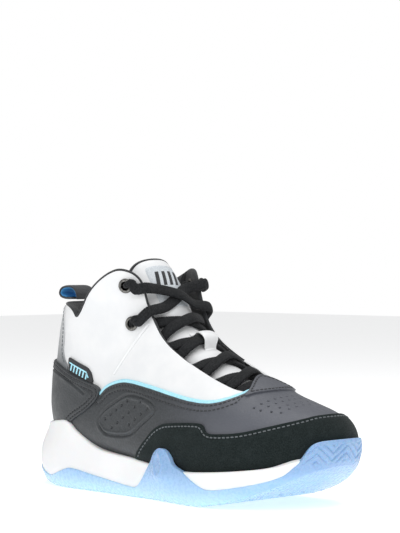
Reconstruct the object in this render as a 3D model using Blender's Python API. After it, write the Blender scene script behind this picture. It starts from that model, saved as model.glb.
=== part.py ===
"""Basketball high top, right shoe: upper, tongue, lacing, pull tab and sole unit.

Frame: +X from heel to toe, -Y is the lateral (outer) side, +Z up, ground at z = 0. Design sizes are in
millimetres and every mesh is written in metres. The upper is a stack of layers on one master form. Each
panel is a layer trimmed by its outline in side view, as leather is clicked with a pattern.
"""

import bmesh
import bpy
import numpy as np
from mathutils import Vector

MM = 0.001
GAP = 0.3  # clearance left between touching pieces

# Layer depths on the master form: 0 is the outer face of the quarters, + is outwards
QUARTER = (0.0, -1.4)
OVERLAY = (1.5, 0.3)
TOP_OVERLAY = (2.8, 1.8)
STIFFENER = (-1.7, -3.1)
UNDERLAY = (-1.7, -2.4)
LINING = (-3.4, -4.2)
COLLAR_PAD = 4.6  # extra depth of the lining where the collar is padded
ENVELOPE = 3.1  # outside of the whole upper, plus a gap
SOCKLINER_EDGE = -4.6
INNER_TRIM = 4.6  # height of the linings' lower edge above the foot's floor line

ROWS_TO_TOP = 17
ARC_STEPS = 5  # facets on the lower arc of a half section, and on its upper arc

LACE_WIDTH = 5.6
LACE_THICK = 2.8
LACE_THROUGH_EYELET = 3.2
LACE_REST = 0.7  # clearance under a strand
LACE_TUCK = 6.0  # how far behind a throat edge the lace turns
UNDER_FLAP = -4.6
EYELET_HOLE_R = 2.5
EYELET_RIM_R = 4.5
EYELET_SIDES = 12

SOLE_WALL = 3.5
SOLE_FLOOR = 4.0
BIG = 200.0

# Stations of the master form from toe tip to collar. Top point x, z; bottom point x, z; half width on the
# lateral and the medial side; where along the height it is widest; power of the lower and the upper arc;
# sideways shift of the top and of the bottom point.
STATIONS = np.array([
    (114, 40, 113, 33, 3, 3, 0.50, 2.0, 2.0, 9, 9),
    (111.5, 46.8, 111.5, 28.5, 14, 12, 0.44, 2.3, 2.2, 9, 9),
    (106, 52.3, 107.5, 25, 22.5, 20, 0.40, 2.8, 2.3, 8.5, 8.5),
    (97, 56, 98.5, 21.5, 30, 26.5, 0.38, 3.2, 2.3, 7.5, 7.5),
    (84, 60, 86, 18, 37, 32.5, 0.36, 3.6, 2.25, 6, 6),
    (70, 65.2, 69, 15.8, 41, 36.5, 0.33, 4.0, 2.15, 4, 4),
    (57, 72.8, 50, 15, 42, 37.5, 0.31, 4.2, 2.15, 2.5, 2),
    (44, 81.5, 25, 16.5, 40.5, 37, 0.30, 4.2, 2.3, 1.5, 0),
    (31, 88.5, -5, 19, 38, 35, 0.31, 4.0, 2.5, 1, -1),
    (20, 95.5, -40, 22, 35.5, 34.5, 0.33, 3.6, 2.6, 0.5, -1),
    (10, 103, -75, 24, 33, 33.5, 0.37, 3.2, 2.8, 0, -0.5),
    (3, 110.5, -100.3, 28, 31.3, 32.3, 0.42, 2.6, 3.0, 0, 0),
    (-2, 118, -110, 42, 31, 32, 0.46, 2.3, 3.1, 0, 0),
    (-5.5, 124.5, -111, 58, 31, 32, 0.49, 2.2, 3.2, 0, 0),
    (-9, 131, -108.8, 76, 31.4, 32.6, 0.52, 2.15, 3.2, 0, 0),
    (-12.5, 137, -104.6, 94, 33.2, 33.6, 0.54, 2.1, 3.2, 0, 0),
    (-16.5, 143.5, -98, 110, 35.2, 35, 0.56, 2.1, 3.2, 0, 0),
    (-20, 149.5, -94, 120, 36, 35.5, 0.56, 2.1, 3.2, 0, 0),
], float)

# Sole outline in plan: x, lateral half width, medial half width
SOLE_PLAN = np.array([
    (-123, 0, 0), (-121, 11.5, 11.5), (-115, 20.5, 21), (-103, 29, 29.5), (-85, 34, 33.5), (-60, 35.5, 34),
    (-30, 37.5, 32), (0, 40, 33), (25, 44.5, 37.5), (48, 47, 42), (66, 45.5, 43), (83, 40.5, 42),
    (97, 33.5, 38.5), (107, 25, 33), (114, 15.5, 26.5), (118, 4.5, 19.5), (119.5, -8, 8),
], float)
TOE_RISE = 0.0045
HEEL_RISE = 0.012
SOLE_HEIGHTS = (0, 2, 6, 10, 15, 20, 28, 38, 50, 62)

# Inset of the sole wall from the plan outline, against height
WALL_HEEL = ((0, 10), (2, 7), (6, 3.4), (12, 0.6), (20, 0.3), (28, 3.4), (38, 8.6), (50, 12.5), (62, 15))
WALL_SIDE = ((0, 4.5), (2, 2.5), (6, 0.6), (12, 0), (20, 0.3), (28, 0.6), (38, 0.7), (50, 1), (62, 1))
WALL_TOE = ((0, 4), (2, 2.4), (6, 0.8), (10, 0), (15, 0.6), (20, 2), (28, 5.5), (38, 10), (50, 13), (62, 15))

# Outlines in side view, x and z
COLLAR_LINE = [
    (-130, 116.5), (-97, 116.5), (-86, 115.8), (-77, 114.4), (-71.6, 111.5), (-68.6, 107.8), (-65, 110.3),
    (-61, 115.2), (-55.5, 122), (-47.5, 128.6), (-38, 134.2), (-30, 137.2), (-23, 135.8), (-18.4, 131.5), (-16, 126),
]
THROAT_LINE = [
    (-13, 117), (-9, 108.5), (-3, 99.8), (5, 92.5), (16, 86), (27, 80.8), (38, 76), (48, 71.5), (56, 68), (61.5, 66.5),
]
VAMP_POINT = [(61, 70), (58.5, 78), (64, 85), (130, 70)]
LINING_FRONT = [(-35.6, 134.6), (-35, 117), (-29, 103), (-20, 91), (-9, 82), (5, 73), (20, 66), (36, 59), (52, 52), (64, 50)]
FEATHER_LINE = [
    (130, 34), (112, 32), (107.5, 27.4), (98.5, 23.8), (86, 21.5), (69, 19.4), (50, 18.6), (25, 20), (-5, 22.6),
    (-40, 25.4), (-75, 27.6), (-97, 31), (-108, 33), (-130, 34),
]
FOXING_TOP = [
    (-45.6, 59.2), (-38.2, 64.8), (-27, 68.2), (-16.7, 68.5), (1.4, 66), (21, 62.5), (36.5, 60), (48.6, 59.2),
    (56.7, 60.8), (62.4, 64.3), (64, 68),
]
MUDGUARD_TOP = [
    (-14, 18), (-10.7, 24), (2.4, 35.7), (8, 41), (14.5, 44.8), (23.3, 46.9), (47.9, 47.8), (53, 43.5),
    (59.3, 42.4), (75, 43.6), (90.4, 47.4), (101.4, 50.6), (106.4, 52.6), (125, 55),
]
HEEL_PANEL = [
    (-130, 80), (-107, 79.5), (-89.8, 77.3), (-72.6, 71.9), (-58.4, 67.8), (-48.2, 65.3), (-44.9, 62),
    (-47.2, 56.8), (-57.6, 49.5), (-74.5, 41), (-86, 28), (-95, 16), (-130, 16),
]
BACKSTAY = [
    (-200, 60), (-79, 60), (-79, 77), (-82, 79.3), (-84.2, 82.5), (-85.6, 86.6), (-84.6, 92.5), (-83.4, 99),
    (-84, 107), (-87, 114.2), (-200, 114.2),
]
LABEL = [(-77, 82.3), (-58, 76.3), (-54.6, 73), (-52, 65), (-77, 73)]
THROAT_TAB = [  # in plan, x and y
    (56, 1.5), (57.2, -3.5), (59.5, -8), (62, -12.5), (63.4, -16), (63.8, -19.6), (65.4, -18.8), (67, -14),
    (68.8, -8.5), (70, -3), (70.4, 3), (69.8, 9.5), (68.2, 15.5), (66, 21), (63.6, 22.6), (63, 18.5),
    (61.2, 14), (58.5, 8.5),
]
MIDSOLE_TOP = [
    (-130, 40), (-112, 40), (-99, 40.8), (-88, 42.2), (-76.5, 42.4), (-66.4, 36.5), (-50.5, 29.2), (-38, 26.3),
    (-12, 24), (5, 22.2), (33, 20.2), (55, 21), (78, 23.1), (96.5, 25.5), (104, 27.5), (109.6, 29.4), (130, 33),
]
OUTSOLE_TOP = [
    (-130, 13), (-115, 12.6), (-102, 9), (-93, 7.5), (-85, 9.5), (-76, 12.5), (-69, 13.5), (-48, 11), (-16, 7.2),
    (-7.5, 7.2), (-1.7, 11.5), (5, 19.2), (9, 24), (12, 29), (17.5, 32.3), (23.5, 31.8), (28, 28), (31.5, 23.5),
    (40, 20), (47, 16.2), (54.6, 12.7), (61.6, 11.3), (73.4, 12.8), (90, 16.3), (100.8, 20.4), (105.7, 24.8),
    (109.6, 29.4), (111.4, 33), (112.5, 36.4), (114, 39.2), (117, 40.8), (130, 42.5),
]
FLOOR_LINE = [  # bottom of the foot space, heel to toe
    (-106, 31), (-99, 27.6), (-75, 24.2), (-40, 22.1), (-5, 19.2), (25, 16.8), (50, 15.2), (69, 16), (86, 18.2),
    (98.5, 21.8), (107, 26),
]

EYELET_1 = (-26.2, 127.3)
EYELET_2 = (-22.1, 104.4)
LACE_ROWS = [  # where the two strands of each crossing pass the throat edge: lower and upper, from the toe up
    ((52, 69.6), (43.5, 73.6)),
    ((34, 77.4), (25, 81.9)),
    ((13, 87.6), (4.5, 93.2)),
    ((-2, 98.4), (-7.8, 106.2)),
]
BOTTOM_BAR = (56.5, 67.9)
OVER_MEDIAL_EDGE_A = (-11, 112.5)
OVER_MEDIAL_EDGE_B = (-16.2, 127)

# The tongue's crown from base to tip: x, z, half width, how far its edges fall below the crown, shift across
TONGUE = np.array([
    (62, 66, 13, 4.5, 0), (50, 72, 14.5, 5.5, 0), (30, 81, 16.5, 7, 0), (18, 88, 17.5, 8, 0), (8.6, 94, 18, 8.5, 0),
    (-3, 104, 18, 8.5, 0), (-10, 115, 19, 8, -0.5), (-18.5, 129, 19.8, 7.5, -1.3), (-27, 143.5, 18.5, 8, -3.6),
], float)
TONGUE_TIP = len(TONGUE) - 1
TONGUE_SPLIT = 5.6  # station where its free top starts to bend
TONGUE_CORNER = 0.4  # stations that the corners of the tip are rounded off
TONGUE_SKIN = 1.0
TONGUE_FOAM = ((0, 1.2), (1, 1.8), (2.5, 4.0), (8, 4.4))
TONGUE_HINGE_DEPTH = 13.5
KEEPER_STATIONS = (2.95, 4.4)
KEEPER_HEIGHT = 8.0

PULL_TAB_HINGE = (-94.5, 0, 117.6)
PULL_TAB_HALF_WIDTH = 8.0
SOCKLINER_HINGE = (106, 0, 29)

WHITE = (0.86, 0.87, 0.87)
GREY_LEATHER = (0.075, 0.078, 0.084)
BLACK_SUEDE = (0.018, 0.021, 0.022)
BLACK = (0.02, 0.021, 0.023)
EVA_WHITE = (0.84, 0.84, 0.84)
ICE_BLUE = (0.36, 0.60, 0.85)
SKY_BLUE = (0.42, 0.76, 0.90)
FOAM = (0.75, 0.74, 0.70)
BOARD = (0.70, 0.66, 0.58)
METAL = (0.20, 0.20, 0.19)
FORMER = (0.55, 0.50, 0.42)


# ---------------------------------------------------------------- scene helpers

def clear_scene():
    for obj in list(bpy.data.objects):
        bpy.data.objects.remove(obj, do_unlink=True)


def material(name, color, roughness, metallic=0.0):
    found = bpy.data.materials.get(name)
    if found:
        return found
    made = bpy.data.materials.new(name)
    made.use_nodes = True
    shader = made.node_tree.nodes["Principled BSDF"]
    shader.inputs["Base Color"].default_value = (*color, 1)
    shader.inputs["Roughness"].default_value = roughness
    shader.inputs["Metallic"].default_value = metallic
    made.diffuse_color = (*color, 1)
    return made


def mesh_object(name, points, faces, finish=None, parent=None):
    """An object from points in millimetres. Without a finish it is a cutter."""
    mesh = bpy.data.meshes.new(name)
    mesh.from_pydata([Vector(p) * MM for p in points], [], faces)
    work = bmesh.new()
    work.from_mesh(mesh)
    bmesh.ops.recalc_face_normals(work, faces=work.faces)
    work.to_mesh(mesh)
    work.free()
    obj = bpy.data.objects.new(name, mesh)
    bpy.context.scene.collection.objects.link(obj)
    if finish is None:
        obj.hide_render = True
        obj.display_type = "WIRE"
    else:
        mesh.materials.append(finish)
        mesh.shade_smooth()
        mesh.set_sharp_from_angle(angle=0.6)
    if parent:
        obj.parent = parent
        obj.matrix_parent_inverse = parent.matrix_world.inverted()
    return obj


def pivot(name, place):
    """An empty on a joint's axis. The moving pieces are its children."""
    empty = bpy.data.objects.new(name, None)
    empty.empty_display_size = 0.01
    empty.location = Vector(place) * MM
    bpy.context.scene.collection.objects.link(empty)
    bpy.context.view_layer.update()
    return empty


def boolean(obj, cutter, operation):
    step = obj.modifiers.new(f"{operation.lower()} {cutter.name}", "BOOLEAN")
    step.operation = operation
    step.solver = "EXACT"
    step.object = cutter


def keep_inside(obj, *cutters):
    for cutter in cutters:
        boolean(obj, cutter, "INTERSECT")


def cut_away(obj, *cutters):
    for cutter in cutters:
        boolean(obj, cutter, "DIFFERENCE")


# ---------------------------------------------------------------- curves and outlines

def spline_rows(table, u):
    """Catmull-Rom curve through the rows of a table, at u = 0 .. len - 1."""
    last = len(table) - 1
    u = np.clip(np.atleast_1d(np.asarray(u, float)), 0, last)
    i = np.clip(np.floor(u).astype(int), 0, last - 1)
    f = (u - i)[:, None]
    p0, p1, p2 = table[np.clip(i - 1, 0, last)], table[i], table[i + 1]
    p3 = table[np.clip(i + 2, 0, last)]
    m1, m2 = (p2 - p0) / 2, (p3 - p1) / 2
    start = (2 * f**3 - 3 * f**2 + 1) * p1 + (f**3 - 2 * f**2 + f) * m1
    return start + (3 * f**2 - 2 * f**3) * p2 + (f**3 - f**2) * m2


def table_value(table, x):
    rows = np.asarray(table, float)
    return np.interp(x, rows[:, 0], rows[:, 1])


def shifted(outline, distance):
    """An open outline moved sideways: a positive distance moves it to its left, going along it."""
    points = np.asarray(outline, float)
    along = np.gradient(points, axis=0)
    along /= np.linalg.norm(along, axis=1)[:, None]
    return points + distance * np.c_[-along[:, 1], along[:, 0]]


def prism(name, outline, y_low=-BIG, y_high=BIG):
    """A cutter: an outline in side view, extruded across the shoe."""
    n = len(outline)
    points = [(x, y_low, z) for x, z in outline] + [(x, y_high, z) for x, z in outline]
    faces = [tuple(range(n)), tuple(range(2 * n - 1, n - 1, -1))]
    faces += [(i, i + n, (i + 1) % n + n, (i + 1) % n) for i in range(n)]
    return mesh_object(name, points, faces)


def plan_prism(name, outline, z_low, z_high):
    """A cutter: an outline in plan, extruded upwards."""
    n = len(outline)
    points = [(x, y, z_low) for x, y in outline] + [(x, y, z_high) for x, y in outline]
    faces = [tuple(range(n)), tuple(range(2 * n - 1, n - 1, -1))]
    faces += [(i, (i + 1) % n, (i + 1) % n + n, i + n) for i in range(n)]
    return mesh_object(name, points, faces)


# ---------------------------------------------------------------- master form

def section(u, side, steps=60):
    """Half a section of the form, from bottom centre to ridge. side is -1 lateral, +1 medial."""
    row = spline_rows(STATIONS, u)[0]
    x_top, z_top, x_low, z_low, lateral, medial, widest, low_power, high_power, y_top, y_low = row
    width = lateral if side < 0 else medial
    turn = np.linspace(0, np.pi / 2, steps)
    low = widest * (1 - np.cos(turn) ** (2 / low_power))
    high = widest + (1 - widest) * np.sin(turn) ** (2 / high_power)
    t = np.r_[low, high[1:]]
    out = np.r_[width * np.sin(turn) ** (2 / low_power), (width * np.cos(turn) ** (2 / high_power))[1:]]
    x = x_low + (x_top - x_low) * t
    z = z_low + (z_top - z_low) * t
    return np.c_[x, y_low + (y_top - y_low) * t + side * out, z]


def arc_lengths(curve):
    return np.r_[0, np.cumsum(np.linalg.norm(np.diff(curve, axis=0), axis=1))]


def at_length(curve, lengths):
    along = arc_lengths(curve)
    return np.array([np.interp(lengths, along, curve[:, k]) for k in range(3)]).T


def ring(u):
    """One closed section: bottom centre, up the lateral side to the ridge, down the medial side."""
    lateral, medial = section(u, -1, ARC_STEPS + 1), section(u, 1, ARC_STEPS + 1)
    return np.vstack([lateral, medial[::-1][1:-1]])


def form_point(u, a):
    """The point of the form at station u, at arc length a from the ridge. Lateral is negative."""
    half = section(u, -1 if a < 0 else 1)[::-1]
    return at_length(half, [abs(a)])[0]


def form_normal(u, a):
    along = form_point(u + 0.03, a) - form_point(u - 0.03, a)
    across = form_point(u, a + 0.4) - form_point(u, a - 0.4)
    normal = np.cross(across, along)
    return normal / np.linalg.norm(normal)


def on_form(u, a, depth):
    return form_point(u, a) + depth * form_normal(u, a)


def find_on_side(x, z, side):
    """(u, a) of the form's point that shows at x, z in side view."""
    best = None
    for u in np.arange(2, ROWS_TO_TOP, 0.25):
        half = section(u, side)[::-1]
        miss = np.hypot(half[:, 0] - x, half[:, 2] - z)
        k = int(miss.argmin())
        if best is None or miss[k] < best[0]:
            best = (miss[k], u, side * arc_lengths(half)[k])
    _, u, a = best
    for _ in range(12):
        here = form_point(u, a)[[0, 2]]
        step_u = (form_point(u + 0.01, a)[[0, 2]] - here) / 0.01
        step_a = (form_point(u, a + 0.05)[[0, 2]] - here) / 0.05
        change = np.linalg.solve(np.array([step_u, step_a]).T, np.array([x, z]) - here)
        u = np.clip(u + np.clip(change[0], -0.5, 0.5), 1, ROWS_TO_TOP - 0.05)
        a = side * np.clip(side * (a + np.clip(change[1], -4, 4)), 1, 110)
    return u, a


FORM_ROWS = [0, 0.5, 1, 1.5] + list(range(2, ROWS_TO_TOP + 1))
FORM = np.array([ring(u) for u in FORM_ROWS])


def grid_normals(grid):
    along = np.gradient(grid, axis=0)
    across = (np.roll(grid, -1, axis=1) - np.roll(grid, 1, axis=1)) / 2
    normals = np.cross(along, across)
    normals /= np.linalg.norm(normals, axis=2)[:, :, None]
    outward = ((grid - grid.mean(axis=1)[:, None]) * normals).sum(axis=2)
    return normals if outward.mean() > 0 else -normals


FORM_NORMALS = grid_normals(FORM)


def padding(points):
    """0 to 1: how padded the collar is at these points."""
    up = np.clip((points[..., 2] - 84) / 14, 0, 1)
    back = np.clip((-22 - points[..., 0]) / 14, 0, 1)
    return (up * up * (3 - 2 * up)) * (back * back * (3 - 2 * back))


def offset_form(depth, padded=0.0, first=0):
    grid = FORM[first:]
    depths = depth - padded * padding(grid)
    return grid + FORM_NORMALS[first:] * depths[:, :, None]


def tube_faces(rows, columns, start=0, flip=False):
    """Triangles of a grid that closes on itself sideways, all with the same diagonal."""
    faces = []
    for i in range(rows - 1):
        for j in range(columns):
            a, b = start + i * columns + j, start + i * columns + (j + 1) % columns
            c, d = b + columns, a + columns
            faces += [(a, b, c), (a, c, d)]
    return [face[::-1] for face in faces] if flip else faces


def layer(name, depths, finish, padded=(0.0, 0.0), first=0, parent=None):
    """A closed sock between two depths, open only as the shoe is: at the collar."""
    outer, inner = (offset_form(d, p, first) for d, p in zip(depths, padded))
    rows, columns = outer.shape[:2]
    total = rows * columns
    points = [*outer.reshape(-1, 3), *inner.reshape(-1, 3), outer[0].mean(axis=0), inner[0].mean(axis=0)]
    faces = tube_faces(rows, columns) + tube_faces(rows, columns, total, True)
    for j in range(columns):
        k = (j + 1) % columns
        top = total - columns
        faces += [(2 * total, k, j), (2 * total + 1, total + j, total + k)]
        faces.append((top + j, top + k, total + top + k))
        faces.append((top + j, total + top + k, total + top + j))
    return mesh_object(name, points, faces, finish, parent)


def volume(name, depth, bottom_depth, finish=None, first=0, parent=None):
    """The closed space inside one depth. Its underside follows bottom_depth."""
    grid = FORM[first:]
    normals = FORM_NORMALS[first:]
    under = np.clip((-normals[:, :, 2] - 0.975) / 0.02, 0, 1)
    depths = depth + (bottom_depth - depth) * under
    skin = grid + normals * depths[:, :, None]
    rows, columns = skin.shape[:2]
    total = rows * columns
    points = [*skin.reshape(-1, 3), skin[0].mean(axis=0), skin[-1].mean(axis=0)]
    faces = tube_faces(rows, columns)
    for j in range(columns):
        k = (j + 1) % columns
        faces += [(total, k, j), (total + 1, total - columns + j, total - columns + k)]
    return mesh_object(name, points, faces, finish, parent)


def slab(name, outer, inner, finish, parent=None):
    """A closed solid between two open grids of the same size."""
    rows, columns = len(outer), len(outer[0])
    total = rows * columns
    points = [p for row in outer for p in row] + [p for row in inner for p in row]
    faces = []
    for i in range(rows - 1):
        for j in range(columns - 1):
            a = i * columns + j
            b, c, d = a + 1, a + columns + 1, a + columns
            faces += [(a, b, c), (a, c, d), (total + c, total + b, total + a), (total + d, total + c, total + a)]
    rim = [j for j in range(columns)] + [i * columns + columns - 1 for i in range(1, rows)]
    rim += [total - 1 - j for j in range(1, columns)] + [i * columns for i in range(rows - 2, 0, -1)]
    for i, a in enumerate(rim):
        b = rim[(i + 1) % len(rim)]
        faces += [(a, total + a, total + b), (a, total + b, b)]
    return mesh_object(name, points, faces, finish, parent)


def sweep(name, path, normals, sizes, sides, finish, parent=None):
    """A tube along a path. sizes are (width, thickness) at each point, thickness along the normal."""
    path = np.asarray(path, float)
    along = np.gradient(path, axis=0)
    along /= np.linalg.norm(along, axis=1)[:, None]
    points, frame = [], None
    for place, ahead, normal, (width, thick) in zip(path, along, normals, sizes):
        flat = normal - normal.dot(ahead) * ahead
        size = np.linalg.norm(flat)
        if frame is not None:
            carried = frame - frame.dot(ahead) * ahead
            carried /= np.linalg.norm(carried)
            share = np.clip((size - 0.55) / 0.3, 0, 1)
            flat = share * flat + (1 - share) * carried
        frame = flat / np.linalg.norm(flat)
        across = np.cross(ahead, frame)
        for k in range(sides):
            turn = 2 * np.pi * (k + 0.5) / sides
            points.append(place + across * width / 2 * np.cos(turn) + frame * thick / 2 * np.sin(turn))
    rows = len(path)
    faces = tube_faces(rows, sides)
    faces += [tuple(range(sides)), tuple(range((rows - 1) * sides, rows * sides))[::-1]]
    return mesh_object(name, points, faces, finish, parent)


# ---------------------------------------------------------------- panels of the upper

def upper_outline():
    """Side view of the whole upper."""
    return [*FEATHER_LINE[::-1], *VAMP_POINT[::-1], *THROAT_LINE[::-1], *COLLAR_LINE[::-1]]


def inner_outline():
    """Side view of the layers inside the upper: above the sockliner's edge and clear of the lace's turns."""
    floor = [(-130, FLOOR_LINE[0][1] + 5.5), *[(x, z + INNER_TRIM) for x, z in FLOOR_LINE], (130, 27)]
    vamp = [(130, 95), (70, 90), (67, 60)]
    return [*floor, *vamp, *LINING_FRONT[::-1], *[p for p in COLLAR_LINE[::-1] if p[0] < -36]]


def below(line, floor=-60):
    return [*line, (line[-1][0], floor), (line[0][0], floor)]


def eyelet_frame(place, side):
    u, a = find_on_side(*place, side)
    return form_point(u, a), form_normal(u, a)


def turned(name, profile, centre, axis, sides, finish=None, parent=None):
    """A ring turned about an axis. profile holds (radius, height) points of its closed section."""
    axis = Vector(axis).normalized()
    helper = Vector((0, 0, 1)) if abs(axis.z) < 0.9 else Vector((1, 0, 0))
    first = axis.cross(helper).normalized()
    second = axis.cross(first)
    count = len(profile)
    points = []
    for k in range(sides):
        turn = 2 * np.pi * k / sides
        spoke = first * np.cos(turn) + second * np.sin(turn)
        points += [Vector(centre) + spoke * r + axis * h for r, h in profile]
    faces = []
    for k in range(sides):
        for i in range(count):
            a, b = k * count + i, k * count + (i + 1) % count
            c, d = (k + 1) % sides * count + (i + 1) % count, (k + 1) % sides * count + i
            faces.append((a, b, c, d))
    return mesh_object(name, points, faces, finish, parent)


def drill(name, place, side, radius):
    """A cutter through the upper at an eyelet."""
    centre, axis = eyelet_frame(place, side)
    turn = np.linspace(0, 2 * np.pi, EYELET_SIDES, endpoint=False)
    helper = np.cross(axis, (0, 0, 1))
    helper /= np.linalg.norm(helper)
    other = np.cross(axis, helper)
    rim = [radius * (np.cos(t) * helper + np.sin(t) * other) for t in turn]
    points = [centre + r - 14 * axis for r in rim] + [centre + r + 8 * axis for r in rim]
    n = EYELET_SIDES
    faces = [tuple(range(n)), tuple(range(2 * n - 1, n - 1, -1))]
    faces += [(i, (i + 1) % n, (i + 1) % n + n, i + n) for i in range(n)]
    return mesh_object(name, points, faces)


def box_cutter(name, low, high):
    x0, y0, z0 = low
    x1, y1, z1 = high
    outline = [(x0, z0), (x1, z0), (x1, z1), (x0, z1)]
    return prism(name, outline, y0, y1)


def make_upper():
    white = material("white_synthetic", WHITE, 0.5)
    grey = material("grey_leather", GREY_LEATHER, 0.5)
    suede = material("black_suede", BLACK_SUEDE, 0.95)
    mesh_black = material("black_mesh", BLACK, 0.9)
    blue = material("sky_blue_piping", SKY_BLUE, 0.5)
    former = material("stiffener_board", FORMER, 0.8)
    foam = material("pu_foam", FOAM, 0.9)

    region = prism("trim_upper", upper_outline())
    inner_region = prism("trim_inner", inner_outline())
    lateral = box_cutter("trim_lateral", (-BIG, -BIG, -BIG), (BIG, -GAP / 2, BIG))
    medial = box_cutter("trim_medial", (-BIG, GAP / 2, -BIG), (BIG, BIG, BIG))
    drills = [
        drill(f"drill_{row}_{name}", place, side, EYELET_HOLE_R + 0.9 + GAP)
        for row, place in ((1, EYELET_1), (2, EYELET_2))
        for name, side in (("lateral", -1), ("medial", 1))
    ]
    toe_split = [(67, 100), (67, 66), (62, 56), (58, 48), (52, 38), (48, 0), (-BIG, 0), (-BIG, 100)]
    toe_side = [(x + GAP, z) for x, z in toe_split[:6]] + [(BIG, 0), (BIG, 100)]
    quarter_outline = [*toe_split[:6], (-BIG, 0), (-BIG, 200), (67, 200)]
    quarter_side = prism("trim_quarters", quarter_outline)
    vamp_side = prism("trim_vamp", toe_side)

    for name, half in (("lateral", lateral), ("medial", medial)):
        quarter = layer(f"quarter_{name}", QUARTER, white)
        keep_inside(quarter, region, quarter_side, half)
        cut_away(quarter, *drills)
    backing = layer("vamp_backing", QUARTER, white)
    keep_inside(backing, region, vamp_side)

    foxing = layer("foxing_and_toe_box", OVERLAY, grey)
    foxing_outline = [(-92, 38), (-60, 55), *FOXING_TOP, (65.5, 90), (BIG, 90), (BIG, 0), (-92, 0)]
    keep_inside(foxing, region, prism("trim_foxing", foxing_outline))

    lower, upper = shifted(FOXING_TOP, GAP), shifted(FOXING_TOP, 2.4)[::-1]
    piping_band = [tuple(p) for p in [*lower, *upper]]
    band = prism("trim_piping", piping_band)
    for name, half in (("lateral", lateral), ("medial", medial)):
        piping = layer(f"piping_{name}", (1.3, GAP), blue)
        keep_inside(piping, region, band, half)

    mudguard = layer("toe_mudguard", TOP_OVERLAY, suede)
    keep_inside(mudguard, region, prism("trim_mudguard", below(MUDGUARD_TOP)))
    tab = layer("throat_tab", TOP_OVERLAY, grey)
    keep_inside(tab, plan_prism("trim_tab", THROAT_TAB, 50, 100))
    heel = layer("heel_panel", TOP_OVERLAY, grey)
    keep_inside(heel, region, prism("trim_heel_panel", HEEL_PANEL))

    label = layer("side_label", (1.2, GAP), mesh_black)
    keep_inside(label, prism("trim_label", LABEL, -BIG, 0))
    backstay = layer("backstay", (1.3, GAP), material("backstay_strip", (0.55, 0.56, 0.56), 0.6))
    keep_inside(backstay, region, prism("trim_backstay", BACKSTAY))

    puff = layer("toe_puff", STIFFENER, former, first=1)
    keep_inside(puff, inner_region, prism("trim_puff", [(76, 0), (76, 100), (BIG, 100), (BIG, 0)]))
    counter_outline = [(-BIG, 10), (-BIG, 83), (-98, 83), (-80, 76), (-64, 58), (-56, 42), (-52, 10)]
    counter = layer("heel_counter", STIFFENER, former)
    keep_inside(counter, inner_region, prism("trim_counter", counter_outline))
    collar_foam = layer("collar_foam", STIFFENER, foam, padded=(0, COLLAR_PAD))
    foam_outline = [(-BIG, 84), (-98, 84), (-80, 80), (-50, 84), (-40, 98), (-35.5, 112), (-35.5, 200), (-BIG, 200)]
    keep_inside(collar_foam, region, prism("trim_foam_low", foam_outline))

    for name, half in (("lateral", lateral), ("medial", medial)):
        under = layer(f"eyestay_underlay_{name}", UNDERLAY, mesh_black)
        keep_inside(under, region, half, prism(f"trim_underlay_{name}", underlay_outline()))
        cut_away(under, *drills)

    lining = layer("quarter_lining", LINING, mesh_black, padded=(COLLAR_PAD, COLLAR_PAD), first=2)
    keep_inside(lining, inner_region, quarter_side)
    vamp_lining = layer("vamp_lining", LINING, mesh_black, first=2)
    keep_inside(vamp_lining, inner_region, vamp_side)


def underlay_outline():
    """A band along the throat edge, wider at the eyelets, under the quarters."""
    throat = [COLLAR_LINE[-1], *THROAT_LINE[:-1]]
    inner = shifted(throat, -17.0)
    return [(-34, 150), (0, 150), (46, 90), (46, 56), *[tuple(p) for p in inner[::-1]], (-33, 128)]


def make_eyelets():
    metal = material("gunmetal", METAL, 0.35, 1.0)
    hole, rim = EYELET_HOLE_R, EYELET_RIM_R
    barrel = hole + 0.9
    profile = [
        (hole, 0.8), (hole + 0.5, 1.15), (rim - 0.7, 1.05), (rim, GAP), (barrel, GAP), (barrel, -3.0),
        (rim - 0.4, -3.0), (rim - 0.7, -3.6), (hole, -3.3),
    ]
    for row, place in ((1, EYELET_1), (2, EYELET_2)):
        for name, side in (("lateral", -1), ("medial", 1)):
            centre, axis = eyelet_frame(place, side)
            turned(f"eyelet_{row}_{name}", profile, centre, axis, EYELET_SIDES, metal)


def make_collar_binding():
    """A thin rolled edge on the collar and down the throat, one length a side."""
    black = material("black_binding", BLACK, 0.85)
    line = shifted([*COLLAR_LINE[1:], *THROAT_LINE[:6]], 1.35)
    for name, side in (("lateral", -1), ("medial", 1)):
        places = [find_on_side(x, z, side) for x, z in line[1:]]
        path = [on_form(u, a, -0.7) for u, a in places]
        normals = [form_normal(u, a) for u, a in places]
        sweep(f"collar_binding_{name}", path, normals, [(1.5, 1.5)] * len(path), 6, black)


# ---------------------------------------------------------------- tongue

def tongue_place(v, s, lift):
    """A point over the tongue, and the tongue's normal there. s is -1 at its lateral edge, 1 at its medial."""
    x, z, half, drop, shift = spline_rows(TONGUE, v)[0]
    ahead, back = spline_rows(TONGUE, v + 0.02)[0], spline_rows(TONGUE, v - 0.02)[0]
    along = np.array([ahead[0] - back[0], 0, ahead[1] - back[1]])
    along /= np.linalg.norm(along)
    crown = np.array([along[2], 0, -along[0]])
    fall = drop * abs(s) ** 2.2
    slope = 2.2 * drop * abs(s) ** 1.2 * np.sign(s) / half
    normal = crown + np.array([0, slope, 0])
    normal /= np.linalg.norm(normal)
    return np.array([x, shift + half * s, z]) - fall * crown + lift * normal, normal


def tongue_station(x, z):
    """The station of the tongue nearest to a point in side view."""
    v = np.linspace(0, TONGUE_TIP, 200)
    crown = spline_rows(TONGUE, v)
    return v[int(np.hypot(crown[:, 0] - x, crown[:, 1] - z).argmin())]


def tip_station(s):
    return TONGUE_TIP - TONGUE_CORNER * s**4


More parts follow.
